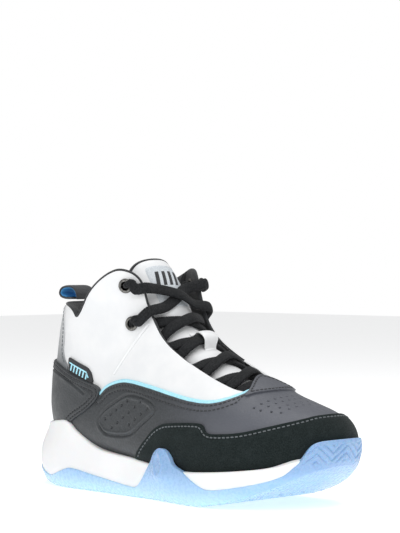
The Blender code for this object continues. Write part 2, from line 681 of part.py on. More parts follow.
def tongue_slab(name, span, scale, depths, finish, parent=None, rows=7, columns=7):
    """A layer of the tongue. span is its first and last station; depths are lifts at a station."""
    grids = []
    for depth in depths:
        grid = []
        for r in np.linspace(0, 1, rows):
            row = []
            for s in np.linspace(-scale, scale, columns):
                last = tip_station(s) - (1 - scale) * 0.8 if span[1] == TONGUE_TIP else span[1]
                v = span[0] + (last - span[0]) * r
                row.append(tongue_place(v, s, depth(v))[0])
            grid.append(row)
        grids.append(grid)
    return slab(name, grids[0], grids[1], finish, parent)


def foam_back(v):
    return -TONGUE_SKIN - GAP - table_value(TONGUE_FOAM, v)


def make_tongue():
    hinge_place, _ = tongue_place(TONGUE_SPLIT, 0, -TONGUE_HINGE_DEPTH)
    hinge = pivot("tongue_top_hinge", hinge_place)
    white = material("white_synthetic", WHITE, 0.5)
    black = material("black_mesh", BLACK, 0.9)
    foam = material("pu_foam", FOAM, 0.9)
    spans = {"lower": (0, TONGUE_SPLIT - 0.02), "top": (TONGUE_SPLIT + 0.02, TONGUE_TIP)}
    for name, span in spans.items():
        parent = hinge if name == "top" else None
        shell = (lambda v: 0, lambda v: -TONGUE_SKIN)
        core = (lambda v: -TONGUE_SKIN - GAP, foam_back)
        lined = (lambda v: foam_back(v) - GAP, lambda v: foam_back(v) - GAP - 0.8)
        rows = 10 if name == "lower" else 6
        tongue_slab(f"tongue_shell_{name}", span, 1.0, shell, white, parent, rows)
        tongue_slab(f"tongue_foam_{name}", span, 0.93, core, foam, parent, rows)
        tongue_slab(f"tongue_lining_{name}", span, 1.0, lined, black, parent, rows)
    tongue_slab("tongue_patch", (6.8, 7.6), 0.55, (lambda v: 1.0, lambda v: GAP), white, hinge, 4, 5)
    make_tongue_binding(hinge)
    make_keeper(white)


def make_tongue_binding(hinge):
    """A rolled edge up both sides of the tongue's free top and round its tip."""
    black = material("black_binding", BLACK, 0.85)
    sides = [(v, -1) for v in np.linspace(TONGUE_SPLIT + 0.1, tip_station(1), 6)]
    top = [(tip_station(s), s) for s in np.linspace(-1, 1, 11)[1:-1]]
    path, normals = [], []
    for v, s in sides + top + [(v, 1) for v, _ in sides[::-1]]:
        place, normal = tongue_place(v, s, -0.6)
        if abs(s) == 1:
            outward = place - tongue_place(v, s * 0.97, -0.6)[0]
        else:
            outward = place - tongue_place(v - 0.05, s, -0.6)[0]
        path.append(place + 1.35 * outward / np.linalg.norm(outward))
        normals.append(normal)
    sweep("tongue_binding", path, normals, [(1.6, 1.6)] * len(path), 6, black, hinge)


def make_keeper(finish):
    """The strap on the tongue that a lace crossing runs under."""
    low, high = KEEPER_STATIONS
    shoulder = KEEPER_HEIGHT - 1
    heights = (
        (0, GAP), (0.1, 0.9), (0.25, shoulder), (0.5, KEEPER_HEIGHT), (0.75, shoulder), (0.9, 0.9), (1, GAP),
    )
    grids = []
    for thickness in (0.9, 0):
        grids.append([
            [tongue_place(low + (high - low) * r, s, h + thickness)[0] for s in (-0.3, -0.1, 0.1, 0.3)]
            for r, h in heights
        ])
    slab("lace_keeper", grids[0], grids[1], finish)


# ---------------------------------------------------------------- lacing

def edge_place(point, side, outward, depth):
    """A place by the throat edge, so far outwards from it over the flap, at a depth."""
    u, a = find_on_side(*point, side)
    a += side * outward
    return on_form(u, a, depth), form_normal(u, a)


def eyelet_place(point, side, forward, depth):
    """A place on or beside an eyelet: forward of its axis by so much along the flap."""
    u, a = find_on_side(*point, side)
    a -= side * forward
    return on_form(u, a, depth), form_normal(u, a)


def strand_lift(over, share=1.0):
    return LACE_REST + LACE_THICK / 2 + (LACE_THICK + LACE_REST) * share * over


def crossing(start, end, side, over):
    """A strand over the tongue from one throat edge to the other. It starts and ends under the edges."""
    first, last = tongue_station(*start), tongue_station(*end)
    stops = [edge_place(start, side, 1, UNDER_FLAP)]
    for s in (0.62, 0.0, -0.62):
        v = first + (last - first) * (1 - s) / 2
        stops.append(tongue_place(v, s * side, strand_lift(over, 1.0 if s == 0 else 0.6)))
    stops.append(edge_place(end, -side, 1, UNDER_FLAP))
    return stops


def turn_under(start, end, side):
    """The hidden turn through a webbing loop, between two crossings."""
    middle = [(p + q) / 2 for p, q in zip(start, end)]
    return [edge_place(middle, side, LACE_TUCK, UNDER_FLAP)]


def through_eyelet(point, side, inwards):
    """Through an eyelet's hole, from outside to inside or back."""
    stops = [
        eyelet_place(point, side, 0.2, 2.4), eyelet_place(point, side, 0, -0.8), eyelet_place(point, side, 0, -3.4),
        eyelet_place(point, side, 0.2, -5.0),
    ]
    return stops if inwards else stops[::-1]


def lace_route():
    """Stops along the whole lace as (place, normal, squeeze). squeeze is 1 inside an eyelet."""
    lateral, medial = -1, 1
    below_second = ((EYELET_2[0] + LACE_ROWS[3][1][0]) / 2 + 1, 106)
    route = []

    def add(stops, squeeze=0.0):
        route.extend((place, normal, squeeze) for place, normal in stops)

    add([eyelet_place(EYELET_1, lateral, -5, -5.0), eyelet_place(EYELET_1, lateral, -2, -5.4)])
    add(through_eyelet(EYELET_1, lateral, False), 1.0)
    add([eyelet_place(EYELET_1, lateral, 3, 3.9)], 0.4)
    add([edge_place((-16.5, 127), lateral, 4, 3.0), edge_place((-15.6, 125), lateral, -1.5, 3.2)])
    add([
        tongue_place(6.65, -0.55, strand_lift(1, 0.8)),
        tongue_place(6.3, 0, strand_lift(1)),
        tongue_place(5.98, 0.55, strand_lift(1, 0.8)),
    ])
    add([edge_place(OVER_MEDIAL_EDGE_A, medial, -1.5, 3.2), edge_place((-12.4, 111), medial, 4, 3.0)])
    add([eyelet_place(EYELET_2, medial, 3, 3.9)], 0.4)
    add(through_eyelet(EYELET_2, medial, True), 1.0)
    add([edge_place(below_second, medial, 2, -5.6)], 0.2)

    side = medial
    for k in (3, 2, 1, 0):
        add(crossing(LACE_ROWS[k][1], LACE_ROWS[k][0], side, over=k % 2 == 1))
        side = -side
        if k:
            add(turn_under(LACE_ROWS[k][0], LACE_ROWS[k - 1][1], side))
    add([edge_place(BOTTOM_BAR, medial, 2, UNDER_FLAP)])
    add([tongue_place(0.5, s, strand_lift(0)) for s in (0.55, 0, -0.55)])
    add([edge_place(BOTTOM_BAR, lateral, 2, UNDER_FLAP)])
    side = lateral
    for k in (0, 1, 2, 3):
        add(crossing(LACE_ROWS[k][0], LACE_ROWS[k][1], side, over=k % 2 == 0))
        side = -side
        if k < 3:
            add(turn_under(LACE_ROWS[k][1], LACE_ROWS[k + 1][0], side))

    add([edge_place(below_second, lateral, 2, -5.6)], 0.2)
    add(through_eyelet(EYELET_2, lateral, False), 1.0)
    add([eyelet_place(EYELET_2, lateral, 3, 3.9)], 0.4)
    add([edge_place((-12.6, 111), lateral, 4, 3.0), edge_place((-11.6, 113.5), lateral, -1.5, 3.6)])
    add([
        tongue_place(5.95, -0.55, strand_lift(0.25)),
        tongue_place(6.3, 0, strand_lift(0.1)),
        tongue_place(6.7, 0.55, strand_lift(0.25)),
    ])
    add([edge_place(OVER_MEDIAL_EDGE_B, medial, -1.5, 3.7), edge_place((-18, 127.4), medial, 3, 3.1)])
    add([eyelet_place(EYELET_1, medial, 3, 3.9)], 0.4)
    add(through_eyelet(EYELET_1, medial, True), 1.0)
    add([eyelet_place(EYELET_1, medial, -2, -5.4), eyelet_place(EYELET_1, medial, -5, -5.0)])
    return route


def make_lace():
    black = material("black_lace", BLACK, 0.9)
    table = np.array([[*place, *normal, squeeze] for place, normal, squeeze in lace_route()])
    fine = spline_rows(table, np.linspace(0, len(table) - 1, 12 * len(table)))
    lengths = arc_lengths(fine[:, :3])
    spacing = 2.8 + 3.6 * (1 - fine[:, 6])
    count = np.r_[0, np.cumsum(np.diff(lengths) / spacing[1:])]
    picked = np.interp(np.linspace(0, count[-1], int(count[-1]) + 1), count, np.arange(len(fine)))
    rows = np.array([np.interp(picked, np.arange(len(fine)), fine[:, k]) for k in range(7)]).T
    directions = rows[:, 3:6] / np.linalg.norm(rows[:, 3:6], axis=1)[:, None]
    squeezed = np.clip(rows[:, 6], 0, 1)
    widths = LACE_WIDTH + (LACE_THROUGH_EYELET - LACE_WIDTH) * squeezed
    thicks = LACE_THICK + (LACE_THROUGH_EYELET - LACE_THICK) * squeezed
    sweep("shoelace", rows[:, :3], directions, list(zip(widths, thicks)), 6, black)


# ---------------------------------------------------------------- pull tab

def make_pull_tab():
    """A folded webbing loop at the back of the collar, lined in blue."""
    hinge = pivot("pull_tab_hinge", PULL_TAB_HINGE)
    webbing = material("black_webbing", BLACK, 0.8)
    blue = material("sky_blue_piping", SKY_BLUE, 0.5)
    outer = [
        (-94.2, 118.0), (-95.4, 122.4), (-99, 125.8), (-104.5, 126.7), (-110, 125.5), (-112.4, 122.2), (-110.8, 119.2),
        (-106, 118.0), (-100, 118.1),
    ]
    strip("pull_tab_webbing", outer, 0.0, 1.0, webbing, hinge)
    strip("pull_tab_lining", outer[1:-1], 1.25, 1.75, blue, hinge)


def strip(name, line, near, far, finish, parent):
    """A band across the heel whose section is an open line in side view, between two offsets of it."""
    half = PULL_TAB_HALF_WIDTH
    fine = spline_rows(np.asarray(line, float), np.linspace(0, len(line) - 1, 2 * len(line) - 1))
    sheets = []
    for distance in (near, far):
        edge = shifted(fine, distance)
        sheets.append([[(x, y, z) for y in (-half, -half / 3, half / 3, half)] for x, z in edge])
    return slab(name, sheets[0], sheets[1], finish, parent)


# ---------------------------------------------------------------- sole unit

def toe_spring(x):
    """How far the sole has risen from the ground at x, towards the toe and towards the heel."""
    return TOE_RISE * np.maximum(x - 40, 0) ** 2 + HEEL_RISE * np.maximum(-100 - x, 0) ** 2


def sole_outline():
    """Closed plan outline: heel to toe on the lateral side, then back on the medial side, with normals."""
    u = [0, 0.5, 1, 1.5, 2, 2.6, 3.3, 4, 5, 6, 7, 7.6, 8.3, 9, 10, 11, 12, 13, 13.6, 14.3, 15, 15.5, 16]
    rows = spline_rows(SOLE_PLAN, u)
    lateral = np.c_[rows[:, 0], -rows[:, 1]]
    medial = np.c_[rows[:, 0], rows[:, 2]][::-1][1:-1]
    outline = np.vstack([lateral, medial])
    along = np.roll(outline, -1, axis=0) - np.roll(outline, 1, axis=0)
    outward = np.c_[along[:, 1], -along[:, 0]]
    return outline, outward / np.linalg.norm(outward, axis=1)[:, None]


def wall_inset(outline, outward, height):
    back = np.clip(-outward[:, 0], 0, 1)
    front = np.clip(outward[:, 0], 0, 1) * np.clip((outline[:, 0] - 60) / 40, 0, 1)
    inset = table_value(WALL_HEEL, height) * back + table_value(WALL_TOE, height) * front
    inset += table_value(WALL_SIDE, height) * (1 - back - front)
    rise = np.clip((height - 8) / 10, 0, 1)
    return inset - 2.2 * rise * np.exp(-(((outline[:, 0] - 20) / 13) ** 2))


def sole_block(name, inset=0.0, floor=0.0, finish=None):
    outline, outward = sole_outline()
    rings = []
    for height in SOLE_HEIGHTS:
        flat = outline - outward * (wall_inset(outline, outward, height) + inset)[:, None]
        spring = toe_spring(outline[:, 0] - outward[:, 0] * wall_inset(outline, outward, height))
        rings.append(np.c_[flat, spring + max(height, floor) if height < floor + 1 else spring + height])
    if floor:
        rings = [ring_ for height, ring_ in zip(SOLE_HEIGHTS, rings) if height == 0 or height > floor + 1]
    count = len(outline)
    points = [p for level in rings for p in level]
    faces = tube_faces(len(rings), count)
    for level in (0, len(rings) - 1):
        start = level * count
        for i in range(count // 2):
            a, b = start + i, start + i + 1
            c, d = start + (count - i - 1) % count, start + (count - i) % count
            if a == d:
                faces.append((a, b, c))
            elif b == c:
                faces.append((a, b, d))
            else:
                faces += [(a, b, c), (a, c, d)]
    return mesh_object(name, points, faces, finish)


def floor_band(name, low, high):
    line = np.asarray(FLOOR_LINE, float)
    bottom = [(x, z + low) for x, z in line]
    top = [(x, z + high) for x, z in line]
    return prism(name, [*bottom, *top[::-1]])


def make_sole():
    rubber = material("ice_blue_rubber", ICE_BLUE, 0.25)
    eva = material("white_eva", EVA_WHITE, 0.6)
    envelope = volume("cut_upper_envelope", ENVELOPE, 0.0)
    outsole_region = prism("trim_outsole", below(OUTSOLE_TOP, -20))
    raised = [tuple(p) for p in shifted(OUTSOLE_TOP, GAP)]
    not_outsole = prism("trim_not_outsole", below([(-140, raised[0][1]), *raised, (140, raised[-1][1])], -30))

    outsole = sole_block("outsole", finish=rubber)
    keep_inside(outsole, outsole_region)
    cut_away(outsole, sole_block("cut_outsole_core", SOLE_WALL, SOLE_FLOOR), envelope)

    midsole = sole_block("midsole", finish=eva)
    cut_away(midsole, not_outsole)
    boolean(midsole, sole_block("add_midsole_core", SOLE_WALL + GAP, SOLE_FLOOR + GAP), "UNION")
    keep_inside(midsole, prism("trim_midsole", below(MIDSOLE_TOP, -20)))
    pocket = prism("cut_shank_pocket", [(-66, 30), (-66, 19.8), (12, 14.4), (12, 30)], -13.3, 12.3)
    cut_away(midsole, envelope, pocket)

    plate = [(-65.7, 21.9), (-65.7, 20.1), (11.7, 14.7), (11.7, 16.5)]
    shank = prism("shank_plate", plate, -13, 12)
    shank.hide_render = False
    shank.display_type = "TEXTURED"
    shank.data.materials.append(material("shank_tpu", (0.05, 0.05, 0.055), 0.4))

    board = volume("strobel_board", -2.3, -0.4, material("strobel_fabric", BOARD, 0.9), first=1)
    keep_inside(board, floor_band("trim_board", 0.6, 4.0))


def make_sockliner():
    hinge = pivot("sockliner_hinge", SOCKLINER_HINGE)
    cloth = material("sockliner_foam", BLACK, 0.9)
    sockliner = volume("sockliner", SOCKLINER_EDGE, SOCKLINER_EDGE, cloth, first=2, parent=hinge)
    keep_inside(sockliner, floor_band("trim_sockliner", 4.3, 8.0))


def main():
    clear_scene()
    make_upper()
    make_eyelets()
    make_collar_binding()
    make_tongue()
    make_lace()
    make_pull_tab()
    make_sole()
    make_sockliner()


main()
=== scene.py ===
"""Looks of the basketball high top: the fine surfaces, seams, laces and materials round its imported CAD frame.

Frame: +X from heel to toe, -Y is the lateral side, +Z up. Design sizes are in millimetres, as in the CAD
model, and each mesh is written in metres. The upper is again a stack of layers on one master form, cut along
side-view outlines, now with a fine mesh, rolled edges, embossing, perforations and rows of stitches.
"""

import bpy
import numpy as np
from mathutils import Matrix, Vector


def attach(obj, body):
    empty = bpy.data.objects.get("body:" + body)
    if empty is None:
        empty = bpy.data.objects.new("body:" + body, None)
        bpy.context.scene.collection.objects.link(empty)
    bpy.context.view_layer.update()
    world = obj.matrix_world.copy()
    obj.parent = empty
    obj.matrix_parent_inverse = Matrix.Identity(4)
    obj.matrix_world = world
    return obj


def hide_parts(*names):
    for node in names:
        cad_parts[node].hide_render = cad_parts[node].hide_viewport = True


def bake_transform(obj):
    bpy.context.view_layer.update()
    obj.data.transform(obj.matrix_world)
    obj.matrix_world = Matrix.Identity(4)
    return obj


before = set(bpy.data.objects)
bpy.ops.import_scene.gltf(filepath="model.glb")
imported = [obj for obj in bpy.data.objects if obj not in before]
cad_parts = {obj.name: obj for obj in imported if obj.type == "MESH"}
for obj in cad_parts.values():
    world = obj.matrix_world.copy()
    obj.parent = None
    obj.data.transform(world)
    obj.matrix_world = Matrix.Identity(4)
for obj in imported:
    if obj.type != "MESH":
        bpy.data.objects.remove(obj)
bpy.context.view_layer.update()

MM = 0.001
FAR = 200.0
UPPER, TONGUE_TOP, PULL_TAB, SOCKLINER = "upper", "tongue_top", "pull_tab", "sockliner"
LATERAL, MEDIAL = -1, 1
SIDES = (("lateral", LATERAL), ("medial", MEDIAL))

# ---------------------------------------------------------------- design sizes, as in the CAD model

# Stations of the master form from toe tip to collar. Top point x, z; bottom point x, z; half width on the
# lateral and the medial side; where along the height it is widest; power of the lower and the upper arc;
# sideways shift of the top and of the bottom point.
STATIONS = np.array([
    (114, 40, 113, 33, 3, 3, 0.50, 2.0, 2.0, 9, 9),
    (111.5, 46.8, 111.5, 28.5, 14, 12, 0.44, 2.3, 2.2, 9, 9),
    (106, 52.3, 107.5, 25, 22.5, 20, 0.40, 2.8, 2.3, 8.5, 8.5),
    (97, 56, 98.5, 21.5, 30, 26.5, 0.38, 3.2, 2.3, 7.5, 7.5),
    (84, 60, 86, 18, 37, 32.5, 0.36, 3.6, 2.25, 6, 6),
    (70, 65.2, 69, 15.8, 41, 36.5, 0.33, 4.0, 2.15, 4, 4),
    (57, 72.8, 50, 15, 42, 37.5, 0.31, 4.2, 2.15, 2.5, 2),
    (44, 81.5, 25, 16.5, 40.5, 37, 0.30, 4.2, 2.3, 1.5, 0),
    (31, 88.5, -5, 19, 38, 35, 0.31, 4.0, 2.5, 1, -1),
    (20, 95.5, -40, 22, 35.5, 34.5, 0.33, 3.6, 2.6, 0.5, -1),
    (10, 103, -75, 24, 33, 33.5, 0.37, 3.2, 2.8, 0, -0.5),
    (3, 110.5, -100.3, 28, 31.3, 32.3, 0.42, 2.6, 3.0, 0, 0),
    (-2, 118, -110, 42, 31, 32, 0.46, 2.3, 3.1, 0, 0),
    (-5.5, 124.5, -111, 58, 31, 32, 0.49, 2.2, 3.2, 0, 0),
    (-9, 131, -108.8, 76, 31.4, 32.6, 0.52, 2.15, 3.2, 0, 0),
    (-12.5, 137, -104.6, 94, 33.2, 33.6, 0.54, 2.1, 3.2, 0, 0),
    (-16.5, 143.5, -98, 110, 35.2, 35, 0.56, 2.1, 3.2, 0, 0),
    (-20, 149.5, -94, 120, 36, 35.5, 0.56, 2.1, 3.2, 0, 0),
], float)
ROWS_TO_TOP = 17
COLLAR_PAD = 4.6

SOLE_PLAN = np.array([  # x, lateral half width, medial half width
    (-123, 0, 0), (-121, 11.5, 11.5), (-115, 20.5, 21), (-103, 29, 29.5), (-85, 34, 33.5), (-60, 35.5, 34),
    (-30, 37.5, 32), (0, 40, 33), (25, 44.5, 37.5), (48, 47, 42), (66, 45.5, 43), (83, 40.5, 42),
    (97, 33.5, 38.5), (107, 25, 33), (114, 15.5, 26.5), (118, 4.5, 19.5), (119.5, -8, 8),
], float)
WALL_HEEL = ((0, 10), (2, 7), (6, 3.4), (12, 0.6), (20, 0.3), (28, 3.4), (38, 8.6), (50, 12.5), (62, 15))
WALL_SIDE = ((0, 4.5), (2, 2.5), (6, 0.6), (12, 0), (20, 0.3), (28, 0.6), (38, 0.7), (50, 1), (62, 1))
WALL_TOE = ((0, 4), (2, 2.4), (6, 0.8), (10, 0), (15, 0.6), (20, 2), (28, 5.5), (38, 10), (50, 13), (62, 15))

# Outlines in side view, x and z. A point given twice is a corner. The line curves smoothly between corners.
COLLAR_LINE = [
    (-130, 116.5), (-97, 116.5), (-86, 115.8), (-77, 114.4), (-71.6, 111.5), (-68.6, 107.8), (-65, 110.3),
    (-61, 115.2), (-55.5, 122), (-47.5, 128.6), (-38, 134.2), (-30, 137.2), (-23, 135.8),
    (-18.4, 131.5), (-16, 126),
]
THROAT_LINE = [
    (-13, 117), (-9, 108.5), (-3, 99.8), (5, 92.5), (16, 86), (27, 80.8), (38, 76), (48, 71.5),
    (56, 68), (61.5, 66.5),
]
VAMP_POINT = [(61, 70), (58.5, 78), (64, 85), (130, 70)]
LINING_FRONT = [
    (-35.6, 134.6), (-35, 117), (-29, 103), (-20, 91), (-9, 82), (5, 73), (20, 66), (36, 59), (52, 52),
    (64, 50),
]
FEATHER_LINE = [
    (130, 34), (112, 32), (107.5, 27.4), (98.5, 23.8), (86, 21.5), (69, 19.4), (50, 18.6), (25, 20),
    (-5, 22.6),
    (-40, 25.4), (-75, 27.6), (-97, 31), (-108, 33), (-130, 34),
]
FOXING_TOP = [
    (-45.6, 59.2), (-38.2, 64.8), (-27, 68.2), (-16.7, 68.5), (1.4, 66), (21, 62.5), (36.5, 60), (48.6, 59.2),
    (56.7, 60.8), (62.4, 64.3), (64, 68),
]
MUDGUARD_TOP = [
    (-14, 18), (-10.7, 24), (2.4, 35.7), (8, 41), (14.5, 44.8), (23.3, 46.9), (47.9, 47.8), (53, 43.5),
    (59.3, 42.4), (75, 43.6), (90.4, 47.4), (101.4, 50.6), (106.4, 52.6), (125, 55),
]
HEEL_PANEL = [
    (-130, 80), (-107, 79.5), (-89.8, 77.3), (-72.6, 71.9), (-58.4, 67.8), (-48.2, 65.3), (-44.9, 62),
    (-47.2, 56.8), (-57.6, 49.5), (-74.5, 41), (-86, 28), (-95, 16),
]
HEEL_GROOVE = [(-130, 74.5), (-100, 73.8), (-84, 71.0), (-76, 68.3), (-68, 64.9), (-59, 60.2)]
BACKSTAY = [
    (-200, 60), (-79, 60), (-79, 77), (-82, 79.3), (-84.2, 82.5), (-85.6, 86.6), (-84.6, 92.5), (-83.4, 99),
    (-84, 107), (-87, 114.2), (-200, 114.2),
]
LABEL = [(-77, 82.3), (-58, 76.3), (-54.6, 73), (-52, 65), (-77, 73)]
THROAT_TAB = [  # in plan, x and y
    (56, 1.5), (57.2, -3.5), (59.5, -8), (62, -12.5), (63.4, -16), (63.8, -19.6), (65.4, -18.8), (67, -14),
    (68.8, -8.5), (70, -3), (70.4, 3), (69.8, 9.5), (68.2, 15.5), (66, 21), (63.6, 22.6), (63, 18.5),
    (61.2, 14), (58.5, 8.5),
]
MIDSOLE_TOP = [
    (-130, 40), (-112, 40), (-99, 40.8), (-88, 42.2), (-76.5, 42.4), (-66.4, 36.5), (-50.5, 29.2),
    (-38, 26.3),
    (-12, 24), (5, 22.2), (33, 20.2), (55, 21), (78, 23.1), (96.5, 25.5), (104, 27.5), (109.6, 29.4),
    (130, 33),
]
OUTSOLE_TOP = [
    (-130, 13), (-115, 12.6), (-102, 9), (-93, 7.5), (-85, 9.5), (-76, 12.5), (-69, 13.5), (-48, 11),
    (-16, 7.2),
    (-7.5, 7.2), (-1.7, 11.5), (5, 19.2), (9, 24), (12, 29), (17.5, 32.3), (23.5, 31.8), (28, 28),
    (31.5, 23.5),
    (40, 20), (47, 16.2), (54.6, 12.7), (61.6, 11.3), (73.4, 12.8), (90, 16.3), (100.8, 20.4), (105.7, 24.8),
    (109.6, 29.4), (111.4, 33), (112.5, 36.4), (114, 39.2), (117, 40.8), (130, 42.5),
]
FLOOR_LINE = [
    (-106, 31), (-99, 27.6), (-75, 24.2), (-40, 22.1), (-5, 19.2), (25, 16.8), (50, 15.2), (69, 16),
    (86, 18.2),
    (98.5, 21.8), (107, 26),
]
EMBOSSED_LINE = [(-34, 73.4), (-22, 88.8), (-11, 103.5)]
LOZENGE = [
    (-19, 61), (-8.7, 61), (2, 58.7), (7.6, 55.2), (7.4, 51.6), (-2.8, 44.3), (-11, 38.9), (-20.7, 36.8),
    (-35.5, 37), (-42, 40.4), (-44.2, 43.6), (-42.8, 47.7), (-37, 52.2), (-28, 57),
]
DIMPLE_ROWS = (  # first dimple, last dimple, how many
    ((-37, 46.1), (-17, 58), 5), ((-30.1, 41.2), (-4.7, 58.2), 6), ((-13.8, 43.9), (2, 54.3), 4),
)
PERFORATION_ROWS = (  # across the toe: x, first y, last y, how many
    (77.6, -21.8, 25.8, 11), (81.8, -21, 25, 10), (86.6, -18, 22, 8), (90.6, -15, 19, 7),
)

EYELET_1 = (-26.2, 127.3)
EYELET_2 = (-22.1, 104.4)
LACE_ROWS = [  # where the two strands of each crossing pass the throat edge: lower and upper, from the toe up
    ((52, 69.6), (43.5, 73.6)),
    ((34, 77.4), (25, 81.9)),
    ((13, 87.6), (4.5, 93.2)),
    ((-2, 98.4), (-7.8, 106.2)),
]
BOTTOM_BAR = (56.5, 67.9)
OVER_MEDIAL_EDGE_A = (-11, 112.5)
OVER_MEDIAL_EDGE_B = (-16.2, 127)
LACE_THICK_CAD = 2.8
LACE_WIDTH = 6.9
LACE_THICK = 2.9
LACE_THROUGH_EYELET = 3.5
LACE_REST = 0.7
LACE_TUCK = 6.0
UNDER_FLAP = -4.6

# The tongue's crown from base to tip: x, z, half width, how far its edges fall below the crown, shift across
TONGUE = np.array([
    (62, 66, 13, 4.5, 0), (50, 72, 14.5, 5.5, 0), (30, 81, 16.5, 7, 0), (18, 88, 17.5, 8, 0),
    (8.6, 94, 18, 8.5, 0),
    (-3, 104, 18, 8.5, 0), (-10, 115, 19, 8, -0.5), (-18.5, 129, 19.8, 7.5, -1.3),
    (-27, 143.5, 18.5, 8, -3.6),
], float)
TONGUE_TIP = len(TONGUE) - 1
TONGUE_CORNER = 0.4
TONGUE_BACK = np.array([(0, 2.6), (1, 3.2), (2.5, 5.4), (8, 6.0)], float)  # station, thickness
KEEPER_STATIONS = (2.95, 4.4)
KEEPER_HEIGHT = 8.0


# ---------------------------------------------------------------- curves

def spline_rows(table, u):
    """Catmull-Rom curve through the rows of a table, at u = 0 .. len - 1."""
    last = len(table) - 1
    u = np.clip(np.atleast_1d(np.asarray(u, float)), 0, last)
    i = np.clip(np.floor(u).astype(int), 0, last - 1)
    f = (u - i)[:, None]
    p0, p1, p2 = table[np.clip(i - 1, 0, last)], table[i], table[i + 1]
    p3 = table[np.clip(i + 2, 0, last)]
    m1, m2 = (p2 - p0) / 2, (p3 - p1) / 2
    ends = (2 * f**3 - 3 * f**2 + 1) * p1 + (3 * f**2 - 2 * f**3) * p2
    return ends + (f**3 - 2 * f**2 + f) * m1 + (f**3 - f**2) * m2


def smooth_table(table, x):
    rows = spline_rows(np.asarray(table, float), np.linspace(0, len(table) - 1, 12 * len(table)))
    return np.interp(x, rows[:, 0], rows[:, 1])


def unit(vectors):
    return vectors / np.maximum(np.linalg.norm(vectors, axis=-1, keepdims=True), 1e-12)


def ease(x):
    """0 to 1 as x goes from 0 to 1, with flat ends."""
    x = np.clip(x, 0, 1)
    return x * x * (3 - 2 * x)


def bump(x, width):
    return np.exp(-((x / width) ** 2))


def arc_lengths(curve):
    return np.r_[0, np.cumsum(np.linalg.norm(np.diff(curve, axis=0), axis=1))]


def at_length(curve, lengths):
    along = arc_lengths(curve)
    return np.array([np.interp(lengths, along, curve[:, k]) for k in range(curve.shape[1])]).T


def curve_through(points, step=1.2):
    """A smooth line through points, broken where a point is given twice."""
    pieces, stretch = [], [points[0]]
    for last, here in zip(points, points[1:]):
        if last == here:
            pieces.append(stretch)
            stretch = []
        stretch.append(here)
    pieces.append(stretch)
    line = []
    for piece in pieces:
        table = np.asarray(piece, float)
        if len(table) > 2:
            fine = spline_rows(table, np.linspace(0, len(table) - 1, 10 * len(table)))
        else:
            fine = table
        count = max(2, int(arc_lengths(fine)[-1] / step) + 1)
        line.append(at_length(fine, np.linspace(0, arc_lengths(fine)[-1], count)))
    return np.vstack(line)


def shifted(line, distance):
    """An open line moved sideways: a positive distance moves it to its left, going along it."""
    along = unit(np.gradient(np.asarray(line, float), axis=0))
    return line + distance * np.c_[-along[:, 1], along[:, 0]]


def below(line, floor=-60):
    return np.vstack([line, [(line[-1][0], floor), (line[0][0], floor)]])


def closed_curve(points, step=1.2):
    """A smooth closed line through points."""
    ring = [*points[-2:], *points, *points[:3]]
    table = np.asarray(ring, float)
    fine = spline_rows(table, np.linspace(2, len(points) + 2, 10 * len(points) + 1))
    count = int(arc_lengths(fine)[-1] / step)
    return at_length(fine, np.linspace(0, arc_lengths(fine)[-1], count + 1)[:-1])


def rounded_corners(points, radius, steps=5):
    """A closed polygon with each corner rounded by an arc-like curve."""
    points = np.asarray(points, float)
    out = []
    for before, here, after in zip(np.roll(points, 1, axis=0), points, np.roll(points, -1, axis=0)):
        reach_in = min(radius, np.linalg.norm(before - here) * 0.45)
        reach_out = min(radius, np.linalg.norm(after - here) * 0.45)
        start = here + (before - here) / np.linalg.norm(before - here) * reach_in
        end = here + (after - here) / np.linalg.norm(after - here) * reach_out
        for t in np.linspace(0, 1, steps):
            out.append((1 - t) ** 2 * start + 2 * t * (1 - t) * here + t * t * end)
    return np.array(out)


# ---------------------------------------------------------------- signed distances in side view

def inside(points, outline):
    x, z = points[:, 0], points[:, 1]
    odd = np.zeros(len(points), bool)
    for (ax, az), (bx, bz) in zip(outline, np.roll(outline, -1, axis=0)):
        if az == bz:
            continue
        crosses = (az > z) != (bz > z)
        odd ^= crosses & (x < (bx - ax) * (z - az) / (bz - az) + ax)
    return odd


def to_line(points, line, closed=True):
    """Distance from points to a line, and the direction from its nearest place to each point."""
    best = np.full(len(points), 1e9)
    offset = np.zeros((len(points), 2))
    ends = np.roll(line, -1, axis=0) if closed else line[1:]
    for a, b in zip(line, ends):
        ab = b - a
        t = np.clip(((points - a) @ ab) / max(ab @ ab, 1e-12), 0, 1)
        gap = points - a - t[:, None] * ab
        distance = np.hypot(gap[:, 0], gap[:, 1])
        nearer = distance < best
        best[nearer] = distance[nearer]
        offset[nearer] = gap[nearer]
    return best, unit(offset)


SIDE_VIEW, PLAN_VIEW = (0, 2), (0, 1)


def along_surface(distance, direction, rows, view):
    """A distance in a view turned into one measured over the surface, which may be seen at a slant."""
    slant = (direction * rows[:, [3 + view[0], 3 + view[1]]]).sum(axis=1)
    return distance / np.sqrt(np.clip(1 - slant**2, 0.12, 1))


def depth_inside(rows, outline, view=SIDE_VIEW):
    """How far inside an outline each row (point, normal) lies, over the surface; negative outside."""
    points = rows[:, list(view)]
    distance, direction = to_line(points, outline)
    distance = along_surface(distance, direction, rows, view)
    return np.where(inside(points, outline), distance, -distance)


def from_line(rows, line):
    distance, direction = to_line(rows[:, list(SIDE_VIEW)], np.asarray(line, float), closed=False)
    return along_surface(distance, direction, rows, SIDE_VIEW)


# ---------------------------------------------------------------- splitting triangles

